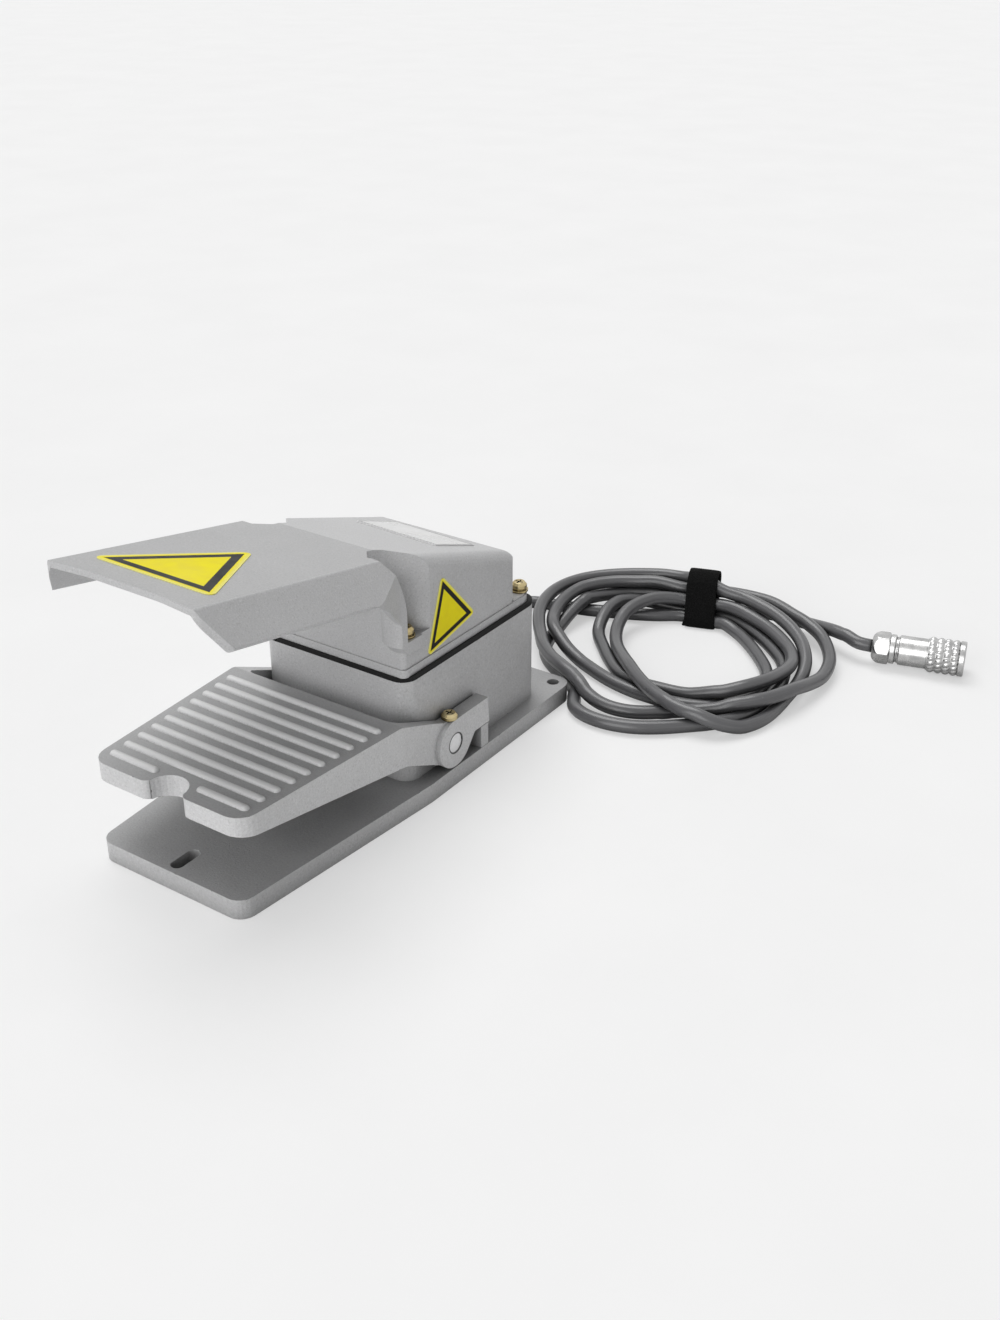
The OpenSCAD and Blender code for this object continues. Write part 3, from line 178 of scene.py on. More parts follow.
# turn 5: the lowest turn, round the corner of the base plate
TURN_5 = [
    (54.6, 248.3, 4.6), (66.2, 251.2, 4.4), (78.8, 251.4, 5.5), (88, 251, 6), (99.7, 247, 5.5),
    (111.8, 240.5, 4.5), (123.3, 231.5, 3.8), (133.5, 221.3, 3.8), (140.3, 210, 3.8),
    (144, 198, 3.8), (145.5, 185, 3.8), (146, 170, 3.8), (144, 156, 3.8), (138.5, 144.5, 3.8),
    (131.5, 135, 3.8), (123, 126.5, 3.8), (112.5, 117, 3.8), (101, 109.5, 3.8),
    (88, 105.4, 3.8), (75, 105.4, 3.8), (64.5, 110, 3.8), (58.8, 118.5, 3.8),
    (52.5, 127.5, 3.8), (42, 135.5, 3.8), (30, 142.5, 3.8), (20.5, 150.5, 3.8),
    (13.6, 160, 3.8), (9.3, 172.1, 3.8), (6.7, 185.6, 5), (5.9, 199, 8.5), (6.4, 212, 11.2),
    (9.2, 224, 11.5), (14.6, 232.5, 11.5), (21.5, 239.7, 11.8), (30.4, 244.6, 12),
    (40, 248.8, 12.3)
]
# tail: away from the tie to the connector
TAIL = [
    (52.7, 254, 10.8), (64.8, 255.8, 9.5), (76.6, 258.1, 9.5), (94, 263.5, 10),
    (106.5, 267, 9.5), (119, 268, 8.8), (130, 266, 9.5), (140, 262.5, 11), (148.5, 259, 12.2),
    (157, 256.3, 12), (165, 253.8, 10.9), (172.7, 255.9, 10.1)
]
CABLE_POINTS = LEAD + TURN_1 + TURN_2 + TURN_3 + TURN_4 + TURN_5 + TAIL
print("cable points:", len(CABLE_POINTS))

# %% [markdown]
# ## Settling the cable
#
# The given points lie a little too near each other here and there, and a real cable
# can't run through itself. The line is settled in rounds. In each one, two places that
# are nearer than a diameter are pushed apart, mostly upwards, and the moves are smoothed
# along the line, because a cable is stiff and shares out every push. The line stays
# above the floor and outside the rounded corner of the base plate. A rope in a physics
# simulation would part its strands too, but would also undo the chosen turns.
# %% Push the strands apart
MM = 0.001
CABLE_D = 7.5
CABLE_R = CABLE_D / 2
STEP = 2.5  # mm from point to point of the line
GAP = 0.1  # mm left between two strands
HELD_POINTS = 8  # points at each end that stay in place
ROUNDS, LAST_ROUNDS = 140, 30
SMOOTHING, LAST_SMOOTHING = 0.35, 0.12
UPWARDS = 1.6  # a push's upward part is this much stronger
EAGER = 1.3  # each push goes a little further than it need
STIFF_OVER = 9.0  # mm of cable that share a push
WINDOW = 12  # points either side that are averaged
HOMING = 0.995  # what is left of a sideways shift after a round
SINK = 0.008  # mm that a strand drops in a round
CORNER = np.array([46.0, 117.5])  # middle of the base plate's rounded corner
CORNER_R, CORNER_GAP = 8, 0.4
CORNER_KEEP = CORNER_R + CABLE_R + CORNER_GAP
CORNER_BELOW = 14  # strands higher than this pass over the corner


def averaged(rows, kernel):
    """Each column's moving average, weighted by the kernel, with the end values carried on."""
    pad = len(kernel) // 2
    return np.stack([np.convolve(np.pad(column, pad, mode="edge"), kernel, "valid")
                     for column in rows.T], axis=1)


def settle(home):
    """The line's points, moved so that no two strands are nearer than a diameter.

    shift is how far each point has left its home. A pair at distance d < D takes a push
    of (D - d) / 2 each, more of it upwards. Then shift is blended with its own average
    along the line, weighted by exp(-(s / STIFF_OVER)^2 / 2).
    """
    count = len(home)
    index = np.arange(count)
    neighbours = int(round(2.5 * CABLE_D / STEP))
    apart = np.triu(np.abs(index[:, None] - index[None, :]) > neighbours)
    kernel = np.exp(-0.5 * (np.arange(-WINDOW, WINDOW + 1) * STEP / STIFF_OVER) ** 2)
    kernel /= kernel.sum()
    shift = np.zeros_like(home)
    for turn in range(ROUNDS):
        p = home + shift
        square = (p * p).sum(1)
        near = square[:, None] + square[None, :] - 2 * p @ p.T
        i, j = np.nonzero(apart & (near < (CABLE_D + GAP) ** 2))
        move = np.zeros_like(p)
        pushes = np.ones(count)
        if len(i):
            gap = p[i] - p[j]
            d = np.maximum(np.linalg.norm(gap, axis=1), 1e-6)
            push = gap * ((CABLE_D + GAP - d) / d / 2)[:, None] * (1, 1, UPWARDS)
            np.add.at(move, i, push)
            np.add.at(move, j, -push)
            pushes = np.maximum(np.bincount(np.concatenate([i, j]), minlength=count), 1)
        shift += move / pushes[:, None] * EAGER
        soft = averaged(shift, kernel)
        shift += (SMOOTHING if turn < ROUNDS - LAST_ROUNDS else LAST_SMOOTHING) * (soft - shift)
        shift[:, :2] *= HOMING
        shift[:, 2] = np.maximum(shift[:, 2] - SINK, CABLE_R - home[:, 2])
        out = (home + shift)[:, :2] - CORNER
        far = np.linalg.norm(out, axis=1)
        inside = (far < CORNER_KEEP) & (home[:, 2] < CORNER_BELOW)
        shift[inside, :2] += out[inside] * (CORNER_KEEP / far[inside] - 1)[:, None]
        shift[:HELD_POINTS] = 0
        shift[-HELD_POINTS:] = 0
    return home + shift


cable_line = settle(smooth_line(CABLE_POINTS, STEP))
CABLE_LENGTH = length_of(cable_line) * MM
print("cable length, m:", round(CABLE_LENGTH, 3))

# %% [markdown]
# ## Meshes from arrays
#
# Every new piece is a grid of points worked out as one array. Two helpers turn such a
# grid into a Blender mesh: one makes the faces of a grid, and one makes the object and
# gives it its body and its smooth shading. The others carry a ring along a line and
# close its ends. A ring needs two directions across the line. One lies level and the
# other points upwards, so a pattern along the tube can't spiral.
# %% Helpers for grids
def grid_faces(rows, columns, closed):
    """Four-sided faces of a grid; where closed, the last column joins the first."""
    wide = columns if closed else columns - 1
    r, c = np.meshgrid(np.arange(rows - 1), np.arange(wide), indexing="ij")
    after = (c + 1) % columns
    return np.stack([r * columns + c, r * columns + after,
                     (r + 1) * columns + after, (r + 1) * columns + c], axis=-1).reshape(-1, 4)


def capped_tube(rings):
    """Points and faces of rings carried along a line, each end closed by a fan to its middle."""
    rows, columns, _ = rings.shape
    points = np.vstack([rings.reshape(-1, 3), rings[0].mean(0), rings[-1].mean(0)])
    faces = grid_faces(rows, columns, True).tolist()
    first, last = rows * columns, rows * columns + 1
    c = np.arange(columns)
    after = (c + 1) % columns
    end = (rows - 1) * columns
    faces += np.stack([after, c, np.full(columns, first)], axis=1).tolist()
    faces += np.stack([end + c, end + after, np.full(columns, last)], axis=1).tolist()
    return points, faces


def new_piece(name, points_mm, faces, body, stands_for=()):
    """A mesh object from points in millimetres, riding on a CAD body."""
    mesh = bpy.data.meshes.new(name)
    mesh.from_pydata((np.asarray(points_mm) * MM).tolist(), [], faces)
    mesh.validate()
    mesh.shade_smooth()
    piece = bpy.data.objects.new(name, mesh)
    bpy.context.scene.collection.objects.link(piece)
    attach(piece, body)
    if stands_for:
        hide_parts(*stands_for)
    print(name, "faces:", len(mesh.polygons))
    return piece


def across(line):
    """Two directions across a line that never stands upright: level sideways, and upwards."""
    along = np.gradient(line, axis=0)
    along /= np.linalg.norm(along, axis=1, keepdims=True)
    side = np.cross(along, [0.0, 0.0, 1.0])
    side /= np.linalg.norm(side, axis=1, keepdims=True)
    return side, np.cross(side, along)


def tube_rings(line, radius, sides):
    """Rings: middle + radius * (cos a * side + sin a * up), for a all the way round."""
    side, up = across(line)
    a = np.linspace(0, 2 * np.pi, sides, endpoint=False)
    ring = np.cos(a)[None, :, None] * side[:, None] + np.sin(a)[None, :, None] * up[:, None]
    return line[:, None] + np.asarray(radius).reshape(-1, 1, 1) * ring


# %% [markdown]
# ## The cable's tube
#
# The jacket is a plain round tube. A curve with a bevel would draw one too, but a grid of
# rings keeps its rows in order, and the jacket's streaks are laid along them later.
# %% Draw the cable
CABLE_SIDES = 24
points, faces = capped_tube(tube_rings(cable_line, CABLE_R, CABLE_SIDES))
cable = new_piece("cable_coiled", points, faces, "housing",
                  ("cable_lead", "cable_coil", "cable_tail"))

# %% [markdown]
# ## The tie
#
# A strip of hook-and-loop tape, 18 mm wide, is wound once and a third round the six
# strands. Cloth could be draped on them by a simulation, but a strip pulled tight is
# simpler than that: it is the skin stretched round six circles, which is, for each
# outward direction, the point that lies furthest that way on any of them.
# %% Wind the tie round the bundle
TIE_AT = np.array([66.0, 252.0])
TIE_TURN = math.radians(18)
TIE_W = 18.0
TIE_T = 1.5
TIE_TURNS = 1.36
TIE_STEPS = 260
TIE_START = np.radians(-150)
TIE_REACH = 25  # mm either side of its middle in which the tie gathers strands
SLACK = 0.4  # mm between the cable and the tie
RAMP = 0.5  # radians over which the second layer climbs on the first
SLIDE = 2.6  # mm that the free end lies askew
EDGE_POINTS = 28
FLOOR_GAP = 0.1  # mm between the tie and the floor

run = np.array([math.cos(TIE_TURN), math.sin(TIE_TURN)])
over = np.array([-run[1], run[0]])
local = cable_line[:, :2] - TIE_AT
in_tie = (np.abs(local @ run) < TIE_W / 2) & (np.abs(local @ over) < TIE_REACH)
strands = np.stack([local[in_tie] @ over, cable_line[in_tie, 2]], axis=1)
print("strand points in the tie:", len(strands))


def skin(angle, gap):
    """The furthest point of the bundle in each direction, gap beyond the cable's surface."""
    out = np.stack([np.cos(angle), np.sin(angle)], axis=1)
    first = np.argmax(strands @ out.T, axis=0)
    return strands[first] + (CABLE_R + gap)[:, None] * out, out


angle = TIE_START + np.linspace(0, 2 * np.pi * TIE_TURNS, TIE_STEPS)
layer = np.clip((angle - angle[0] - 2 * np.pi) / RAMP, 0, 1)
layer = layer * layer * (3 - 2 * layer)
middle, out = skin(angle, SLACK + TIE_T / 2 + layer * (TIE_T + 0.2))
middle = smooth_line(middle, 0.8)
middle = averaged(middle, np.ones(7) / 7)
middle[:, 1] = np.maximum(middle[:, 1], TIE_T / 2 + FLOOR_GAP)
slope = np.gradient(middle, axis=0)
slope /= np.linalg.norm(slope, axis=1, keepdims=True)
outward = np.stack([slope[:, 1], -slope[:, 0]], axis=1)


def squashed(half, wave, power):
    """half * the wave's sign * its size to a power: a circle's side pressed towards a square's."""
    return half * np.sign(wave) * np.abs(wave) ** power


edge = np.linspace(0, 2 * np.pi, EDGE_POINTS, endpoint=False)
lay_u = squashed(TIE_W / 2, np.cos(edge), 0.35)
lay_t = squashed(TIE_T / 2, np.sin(edge), 0.6)
share = np.linspace(0, 1, len(middle))
slide = SLIDE * np.clip((share - 0.55) / 0.3, 0, 1)
flat = middle[:, None] + outward[:, None] * lay_t[None, :, None]
u = lay_u[None, :] + slide[:, None]
rings = np.concatenate([
    TIE_AT + u[..., None] * run + flat[..., :1] * over,
    flat[..., 1:]], axis=-1)
points, faces = capped_tube(rings)
tie = new_piece("tie_strip", points, faces, "housing", ("cable_tie",))

# %% [markdown]
# ## The connector
#
# It is turned and plated brass on one axis: a clamp nut with a domed end and six flats,
# a smooth barrel, and a locking sleeve with four rows of scallops. Each is a surface of
# turning: a radius for every place along the axis and every angle round it. A modifier
# could spin the same profile, but then it would be round all the way.
# %% Turned surfaces on the connector's axis
CONNECTOR_AT = np.array([172.7, 255.9, 10.1])
CONNECTOR_TURN = math.radians(15.7)
axis_dir = np.array([math.cos(CONNECTOR_TURN), math.sin(CONNECTOR_TURN), 0.0])
axis_side = np.array([-axis_dir[1], axis_dir[0], 0.0])
axis_up = np.array([0.0, 0.0, 1.0])


def profile(corners, step=0.25):
    """Points (z, r) along straight runs between corners, about step apart."""
    runs = []
    for start, end in zip(corners[:-1], corners[1:]):
        count = max(int(math.dist(start, end) / step), 1)
        runs.append(np.linspace(start, end, count, endpoint=False))
    return np.vstack(runs + [np.array([corners[-1]], float)])


def turned(corners, columns, shape=None, step=0.25):
    """Rings of a closed turned shell: axis point + r * (cos a * side + sin a * up).

    shape(z, r, a) may change the radius with the angle.
    """
    line = profile(list(corners) + [corners[0]], step)
    z, r = line[:, 0][:, None], line[:, 1][:, None]
    a = np.linspace(0, 2 * np.pi, columns, endpoint=False)[None, :]
    r = r + 0 * a if shape is None else shape(z, r, a)
    spoke = np.cos(a)[..., None] * axis_side + np.sin(a)[..., None] * axis_up
    return CONNECTOR_AT + z[..., None] * axis_dir + r[..., None] * spoke


def turned_piece(name, rings, body, stands_for):
    """Joins the rings up into a shell; the last is the first again, so it is left out."""
    rings = rings[:-1]
    rows, columns, _ = rings.shape
    index = np.arange(rows * columns).reshape(rows, columns)
    below = np.roll(index, -1, axis=0)
    faces = np.stack([index, below, np.roll(below, -1, axis=1), np.roll(index, -1, axis=1)],
                     axis=-1).reshape(-1, 4)
    return new_piece(name, rings.reshape(-1, 3), faces.tolist(), body, (stands_for,))


print("connector's axis:", axis_dir.round(3))

# %% [markdown]
# ## The clamp nut
#
# It grips the cable's jacket. On the real one, the flats are milled on a turned bar.
# A cut with a six-sided block would do the same here, but the smaller of two radii, the
# turned one and the hexagon's, gives the flats with no cut.
# %% Turn the clamp nut
NUT_FLATS = 16.0
HEX_FROM, HEX_TO = 1.5, 9.7
DOME_R = 6.5  # inside this radius the nut stays round


def six_flats(z, r, a):
    """The smaller of r and the hexagon's radius, half the flats / cos(angle from its middle)."""
    turn = np.mod(a, np.pi / 3) - np.pi / 6
    hexagon = NUT_FLATS / 2 / np.cos(turn)
    outside = (r > DOME_R) & (z > HEX_FROM) & (z < HEX_TO)
    return np.where(outside, np.minimum(r, hexagon), r + 0 * a)


nut_corners = [(0.3, 4.05), (0.0, 4.4), (0.0, 5.6), (0.35, 6.6), (1.0, 7.5), (1.9, 8.2),
               (2.9, 8.75), (4.0, 9.15), (9.0, 9.2), (9.5, 8.75), (9.75, 7.9), (10.0, 7.85),
               (10.2, 8.3), (12.4, 8.35), (12.9, 8.1), (13.0, 7.7), (13.0, 4.05)]
turned_piece("clamp_nut", turned(nut_corners, 144, six_flats), "housing",
             "connector_clamp_nut")

# %% [markdown]
# ## The barrel
#
# It is the smooth part that the fingers hold, and a thinner tube in front that the sleeve
# slides on. Nothing on it turns with the angle, so the profile says it all.
# %% Turn the barrel
BARREL_R = 8.5
barrel_corners = [(13.05, 4.1), (13.05, 7.2), (14.0, 7.2), (14.15, 7.55), (14.7, 7.55),
                  (14.85, 8.1), (15.3, BARREL_R), (30.9, BARREL_R), (31.05, 8.3), (31.05, 8.0),
                  (49.2, 8.0), (49.5, 7.7), (49.5, 6.9), (49.2, 6.5), (17.0, 6.5), (17.0, 4.1)]
turned_piece("connector_barrel", turned(barrel_corners, 96), "housing",
             "connector_shell")

# %% [markdown]
# ## The locking sleeve
#
# It is pulled back to free the plug, and four rows of scallops give the fingers a hold.
# They could be cut one by one with booleans, but a wave added to the radius makes all of
# them at once. Its bore is wider at the back, so that it can slide over the barrel.
# %% Turn the sleeve and its scallops
SLEEVE_FROM, SLEEVE_TO = 30.4, 51.0
SLEEVE_R = 9.0
BORE_R, WIDE_BORE_R = 8.1, 8.56
WIDE_TO = 33.6
ROWS_FROM, ROWS_TO = 30.9, 47.6
SCALLOP_ROWS = 4
SCALLOPS = 20
SCALLOP_H = 1.1
SLANT = 2.4


def scallops(z, r, a):
    """Each row is a swell, cut by slanting hollows that are staggered from row to row.

    r grows by SCALLOP_H * swell * (1 - hollow^1.5 / 2), where swell = sin(pi t)^0.8 and
    hollow = (1 + cos(SCALLOPS a + SLANT t + row pi)) / 2, for t from 0 to 1 in each row.
    """
    t = (z - ROWS_FROM) / (ROWS_TO - ROWS_FROM) * SCALLOP_ROWS
    row = np.floor(t)
    t = t - row
    swell = np.sin(np.pi * np.clip(t, 0, 1)) ** 0.8
    hollow = (1 + np.cos(SCALLOPS * a + SLANT * t + row * np.pi)) / 2
    outside = (r > SLEEVE_R - 0.1) & (z > ROWS_FROM) & (z < ROWS_TO)
    return np.where(outside, SLEEVE_R + SCALLOP_H * swell * (1 - 0.5 * hollow ** 1.5), r + 0 * a)


sleeve_corners = [(SLEEVE_FROM + 0.2, WIDE_BORE_R), (SLEEVE_FROM, 8.75), (SLEEVE_FROM, 8.95),
                  (ROWS_FROM, SLEEVE_R), (ROWS_TO, SLEEVE_R), (47.75, 9.75), (48.0, 9.95),
                  (50.3, 9.95), (50.8, 9.7), (SLEEVE_TO, 9.3), (SLEEVE_TO, 8.45), (50.6, BORE_R),
                  (WIDE_TO, BORE_R), (WIDE_TO, WIDE_BORE_R)]
turned_piece("locking_ring", turned(sleeve_corners, 240, scallops, 0.22), "sleeve",
             "locking_sleeve")

# %% [markdown]
# ## Materials
#
# Each finish is a node tree that reads the Object coordinates, so the grain has a real
# size and stays put. A picture could be wrapped on instead, but it would blur close by
# and stretch over corners. A few helpers keep the trees short: one starts a material,
# and the others add a noise, a ramp, a sum or a mix.
# %% Helpers for node trees
def start(name, metallic=0.0, roughness=0.5):
    """A new material, its tree, its shader and the object coordinates."""
    material = bpy.data.materials.new(name)
    material.use_nodes = True
    tree = material.node_tree
    shader = tree.nodes["Principled BSDF"]
    shader.inputs["Metallic"].default_value = metallic
    shader.inputs["Roughness"].default_value = roughness
    return tree, shader, tree.nodes.new("ShaderNodeTexCoord").outputs["Object"]


def feed(tree, socket, value):
    """Links an output to an input, or sets a plain value."""
    if isinstance(value, bpy.types.NodeSocket):
        tree.links.new(value, socket)
    else:
        socket.default_value = value


def noise(tree, place, scale, detail=3.0, rough=0.55, stretch=None):
    """Noise from 0 to 1; scale is in features per metre, stretch multiplies x, y and z."""
    if stretch:
        mapping = tree.nodes.new("ShaderNodeMapping")
        mapping.inputs["Scale"].default_value = stretch
        feed(tree, mapping.inputs["Vector"], place)
        place = mapping.outputs[0]
    node = tree.nodes.new("ShaderNodeTexNoise")
    node.inputs["Scale"].default_value = scale
    node.inputs["Detail"].default_value = detail
    node.inputs["Roughness"].default_value = rough
    feed(tree, node.inputs["Vector"], place)
    return node.outputs["Fac"]


def between(tree, value, low, high, to_low=0.0, to_high=1.0):
    """Maps low..high to to_low..to_high, held at the ends."""
    node = tree.nodes.new("ShaderNodeMapRange")
    for name, amount in (("From Min", low), ("From Max", high),
                         ("To Min", to_low), ("To Max", to_high)):
        node.inputs[name].default_value = amount
    feed(tree, node.inputs["Value"], value)
    return node.outputs["Result"]


def maths(tree, operation, a, b=0.0):
    """One sum on numbers."""
    node = tree.nodes.new("ShaderNodeMath")
    node.operation = operation
    feed(tree, node.inputs[0], a)
    feed(tree, node.inputs[1], b)
    return node.outputs[0]


def vector_maths(tree, operation, a, b=(0, 0, 0)):
    """One sum on vectors; a dot product and a length come out as a number."""
    node = tree.nodes.new("ShaderNodeVectorMath")
    node.operation = operation
    feed(tree, node.inputs[0], a)
    feed(tree, node.inputs[1], b)
    return node.outputs["Value" if operation in ("DOT_PRODUCT", "LENGTH") else "Vector"]


def neutral(amount):
    """A colour with as much red as green and blue."""
    return (amount, amount, amount)


def blend_colours(tree, share, a, b):
    """a where share is 0, b where it is 1; a colour is three numbers or a socket."""
    node = tree.nodes.new("ShaderNodeMix")
    node.data_type = "RGBA"
    feed(tree, node.inputs["Factor"], share)
    for socket, colour in ((node.inputs[6], a), (node.inputs[7], b)):
        feed(tree, socket, colour if isinstance(colour, bpy.types.NodeSocket) else (*colour, 1.0))
    return node.outputs[2]


# %% [markdown]
# ## Relief and edges
#
# Sand, marks and loops are too small for faces, so they are bumps: the normal leans as if
# the surface rose and fell. Rounded edges catch the light on every real piece, and a
# Bevel node bends the normal there without adding faces.
# %% Bumps, edges and dressing
def grain(tree, height, depth, under=None):
    """A bump of that depth in metres, on top of another normal if there is one."""
    node = tree.nodes.new("ShaderNodeBump")
    node.inputs["Strength"].default_value = 1.0
    node.inputs["Distance"].default_value = depth
    feed(tree, node.inputs["Height"], height)
    if under is not None:
        feed(tree, node.inputs["Normal"], under)
    return node.outputs["Normal"]


def rounded_edges(tree, radius):
    """The normal of edges rounded by that radius, and how far it leans away there, 0 to 1."""
    bevel = tree.nodes.new("ShaderNodeBevel")
    bevel.samples = 6
    bevel.inputs["Radius"].default_value = radius
    plain = tree.nodes.new("ShaderNodeNewGeometry")
    same = vector_maths(tree, "DOT_PRODUCT", bevel.outputs["Normal"], plain.outputs["Normal"])
    return bevel.outputs["Normal"], maths(tree, "SUBTRACT", 1.0, same)


def dress(names, shader_tree):
    """Gives pieces or CAD nodes a material in place of the ones they came with."""
    material = next(m for m in bpy.data.materials if m.node_tree == shader_tree)
    for name in names:
        piece = bpy.data.objects[name]
        piece.data.materials.clear()
        piece.data.materials.append(material)
    print(material.name, "on", ", ".join(names))


# %% [markdown]
# ## Enamel on the castings
#
# The castings are sprayed with a silver-grey enamel that has a fine sandy grain under a
# thin gloss. Wear and painted shade could be painted on by hand, but nodes find their places
# by themselves: a Bevel node gives soft edges and the wear on them, an Ambient Occlusion
# node the corners, which get painted shade, and the normal the level tops, which are
# painted darker as shade.
# %% Where painted shade goes
def crevices(tree, reach):
    """How enclosed a point is within that reach in metres: 0 in the open, 1 in a corner."""
    node = tree.nodes.new("ShaderNodeAmbientOcclusion")
    node.samples = 6
    node.inputs["Distance"].default_value = reach
    return maths(tree, "SUBTRACT", 1.0, node.outputs["AO"])


def facing_up(tree, low, high):
    """1 on level tops, 0 on walls and undersides; low and high are the normal's upward parts."""
    plain = tree.nodes.new("ShaderNodeNewGeometry")
    split = tree.nodes.new("ShaderNodeSeparateXYZ")
    feed(tree, split.inputs[0], plain.outputs["Normal"])
    return between(tree, split.outputs["Z"], low, high)


def scaled(colour, share):
    """The same colour darker or lighter, but no lighter than white."""
    return [min(c * share, 1) for c in colour]


# %% The enamel
def enamel(name, grey, sand, cells, chips, top_shade, level=(0.80, 0.97)):
    """Enamel with a sandy grain, painted shade in corners and on level tops, rubbed edges and
    chips.

    sand is the bump's depth in metres, cells its grains per metre, chips the noise above
    which an edge is chipped and top_shade how much darker its level tops are painted, as shade.
    """
    tree, shader, place = start(name, metallic=0.08, roughness=0.46)
    soft, edge = rounded_edges(tree, 0.0005)
    cloud = noise(tree, place, 22, 3)
    speck = noise(tree, place, cells, 3, 0.75)
    # level tops are painted darker as shade, a little unevenly
    shaded_top_share = between(tree, noise(tree, place, 38, 4, 0.65), 0.25, 0.75, top_shade * 0.85, top_shade)
    knock = noise(tree, place, 260, 2, 0.6)
    shade = blend_colours(tree, between(tree, cloud, 0.3, 0.7),
                          scaled(grey, 0.95), scaled(grey, 1.04))
    for share, colour in (
            (between(tree, speck, 0.55, 0.72, 0, 0.45), scaled(grey, 1.5)),  # pale grains
            (between(tree, speck, 0.46, 0.30, 0, 0.55), scaled(grey, 0.60)),  # dark pits
            (maths(tree, "MULTIPLY", facing_up(tree, *level), shaded_top_share), neutral(0.03)),  # level tops: painted shade
            (between(tree, crevices(tree, 0.014), 0.2, 0.95, 0, 0.75), neutral(0.035)),  # painted shade in corners
            (between(tree, edge, 0.03, 0.25, 0, 0.45), neutral(0.70)),  # rubbed edges
            (maths(tree, "MULTIPLY", between(tree, edge, 0.04, 0.10),
                   between(tree, knock, chips, chips + 0.02)), neutral(0.09))):  # chips
        shade = blend_colours(tree, share, shade, colour)
    feed(tree, shader.inputs["Base Color"], shade)
    feed(tree, shader.inputs["Roughness"], between(tree, cloud, 0.3, 0.7, 0.42, 0.50))
    shader.inputs["Coat Weight"].default_value = 0.35
    shader.inputs["Coat Roughness"].default_value = 0.24
    feed(tree, shader.inputs["Normal"], grain(tree, speck, sand, soft))
    return tree


ENAMEL_GREY = (0.52, 0.52, 0.525)
dress(["cover_hood"], enamel("enamel_cover", ENAMEL_GREY, sand=0.00016, cells=1200, chips=0.72,
                             top_shade=0.24, level=(0.955, 0.982)))
dress(["base_housing"], enamel("enamel_base", ENAMEL_GREY, sand=0.00026, cells=900, chips=0.64,
                               top_shade=0.40))

# %% [markdown]
# ## The treadle
#
# It has the same enamel, a little paler. Its ribs are painted pale, partly as rubbed wear
# and partly as a painted highlight, which is everything a little above the tread's surface,
# and a dark ring lies round each end of the shaft. Both could be faces with their own
# material, but the places are told by numbers that the model already has: the tread's
# height, and the distance from the shaft's axis.
# %% Dress the treadle
def recolour(tree, share, colour):
    """Lays one more colour over what a tree's shader has."""
    socket = tree.nodes["Principled BSDF"].inputs["Base Color"]
    feed(tree, socket, blend_colours(tree, share, socket.links[0].from_socket, colour))


def own_place(tree):
    """The piece's own coordinates, in a tree that start has begun."""
    return tree.nodes["Texture Coordinate"].outputs["Object"]


def height_over(tree, floor_z):
    """How far a point lies above a level, in metres, in the piece's own coordinates."""
    split = tree.nodes.new("ShaderNodeSeparateXYZ")
    feed(tree, split.inputs[0], own_place(tree))
    return maths(tree, "SUBTRACT", split.outputs["Z"], floor_z)


TREADLE_GREY = (0.62, 0.62, 0.625)
TREAD_Z = 0.051
PIVOT = (0.0, 0.0175, 0.0233)
SHAFT_R = 0.005
RING_FULL, RING_END = 0.0005, 0.0009
tree = enamel("enamel_treadle", TREADLE_GREY, sand=0.00020, cells=1000, chips=0.66, top_shade=0.52)
# ribs painted pale: partly rubbed wear, partly a painted highlight
recolour(tree, between(tree, height_over(tree, TREAD_Z), 0.0003, 0.0012, 0, 0.85), neutral(0.68))
spokes = vector_maths(tree, "SUBTRACT", own_place(tree), PIVOT)
reach = vector_maths(tree, "LENGTH", vector_maths(tree, "MULTIPLY", spokes, (0, 1, 1)))
recolour(tree, between(tree, reach, SHAFT_R + RING_END, SHAFT_R + RING_FULL, 0, 0.95),
         neutral(0.01))
dress(["treadle"], tree)

# %% [markdown]
# ## Plate and stickers
#
# The name plate is a blank pale foil with a thin dark line near its edge. The stickers
# are yellow film with a dark border and no sign. A print could be a picture, but a border
# is only the place where the distance to the nearest side lies between two values, and
# the distance to a side is a dot product, so it stays sharp at any size.
# %% Lines at a distance from the sides
ROOF_FALL = math.radians(18.2)
HOOD_RISE = math.radians(10.6)
BORDER_INNER, BORDER_OUTER, RIM_W = 0.098, 0.04, 0.035  # shares of a sticker's side


def towards(tree, place, centre, direction):
    """How far a point lies from the centre in one direction, in metres."""
    away = vector_maths(tree, "SUBTRACT", place, centre)
    return vector_maths(tree, "DOT_PRODUCT", away, direction)


def band(tree, value, low, high, soft=0.00006):
    """1 between low and high, 0 outside."""
    rise = between(tree, value, low - soft, low + soft)
    fall = between(tree, value, high - soft, high + soft)
    return maths(tree, "SUBTRACT", rise, fall)


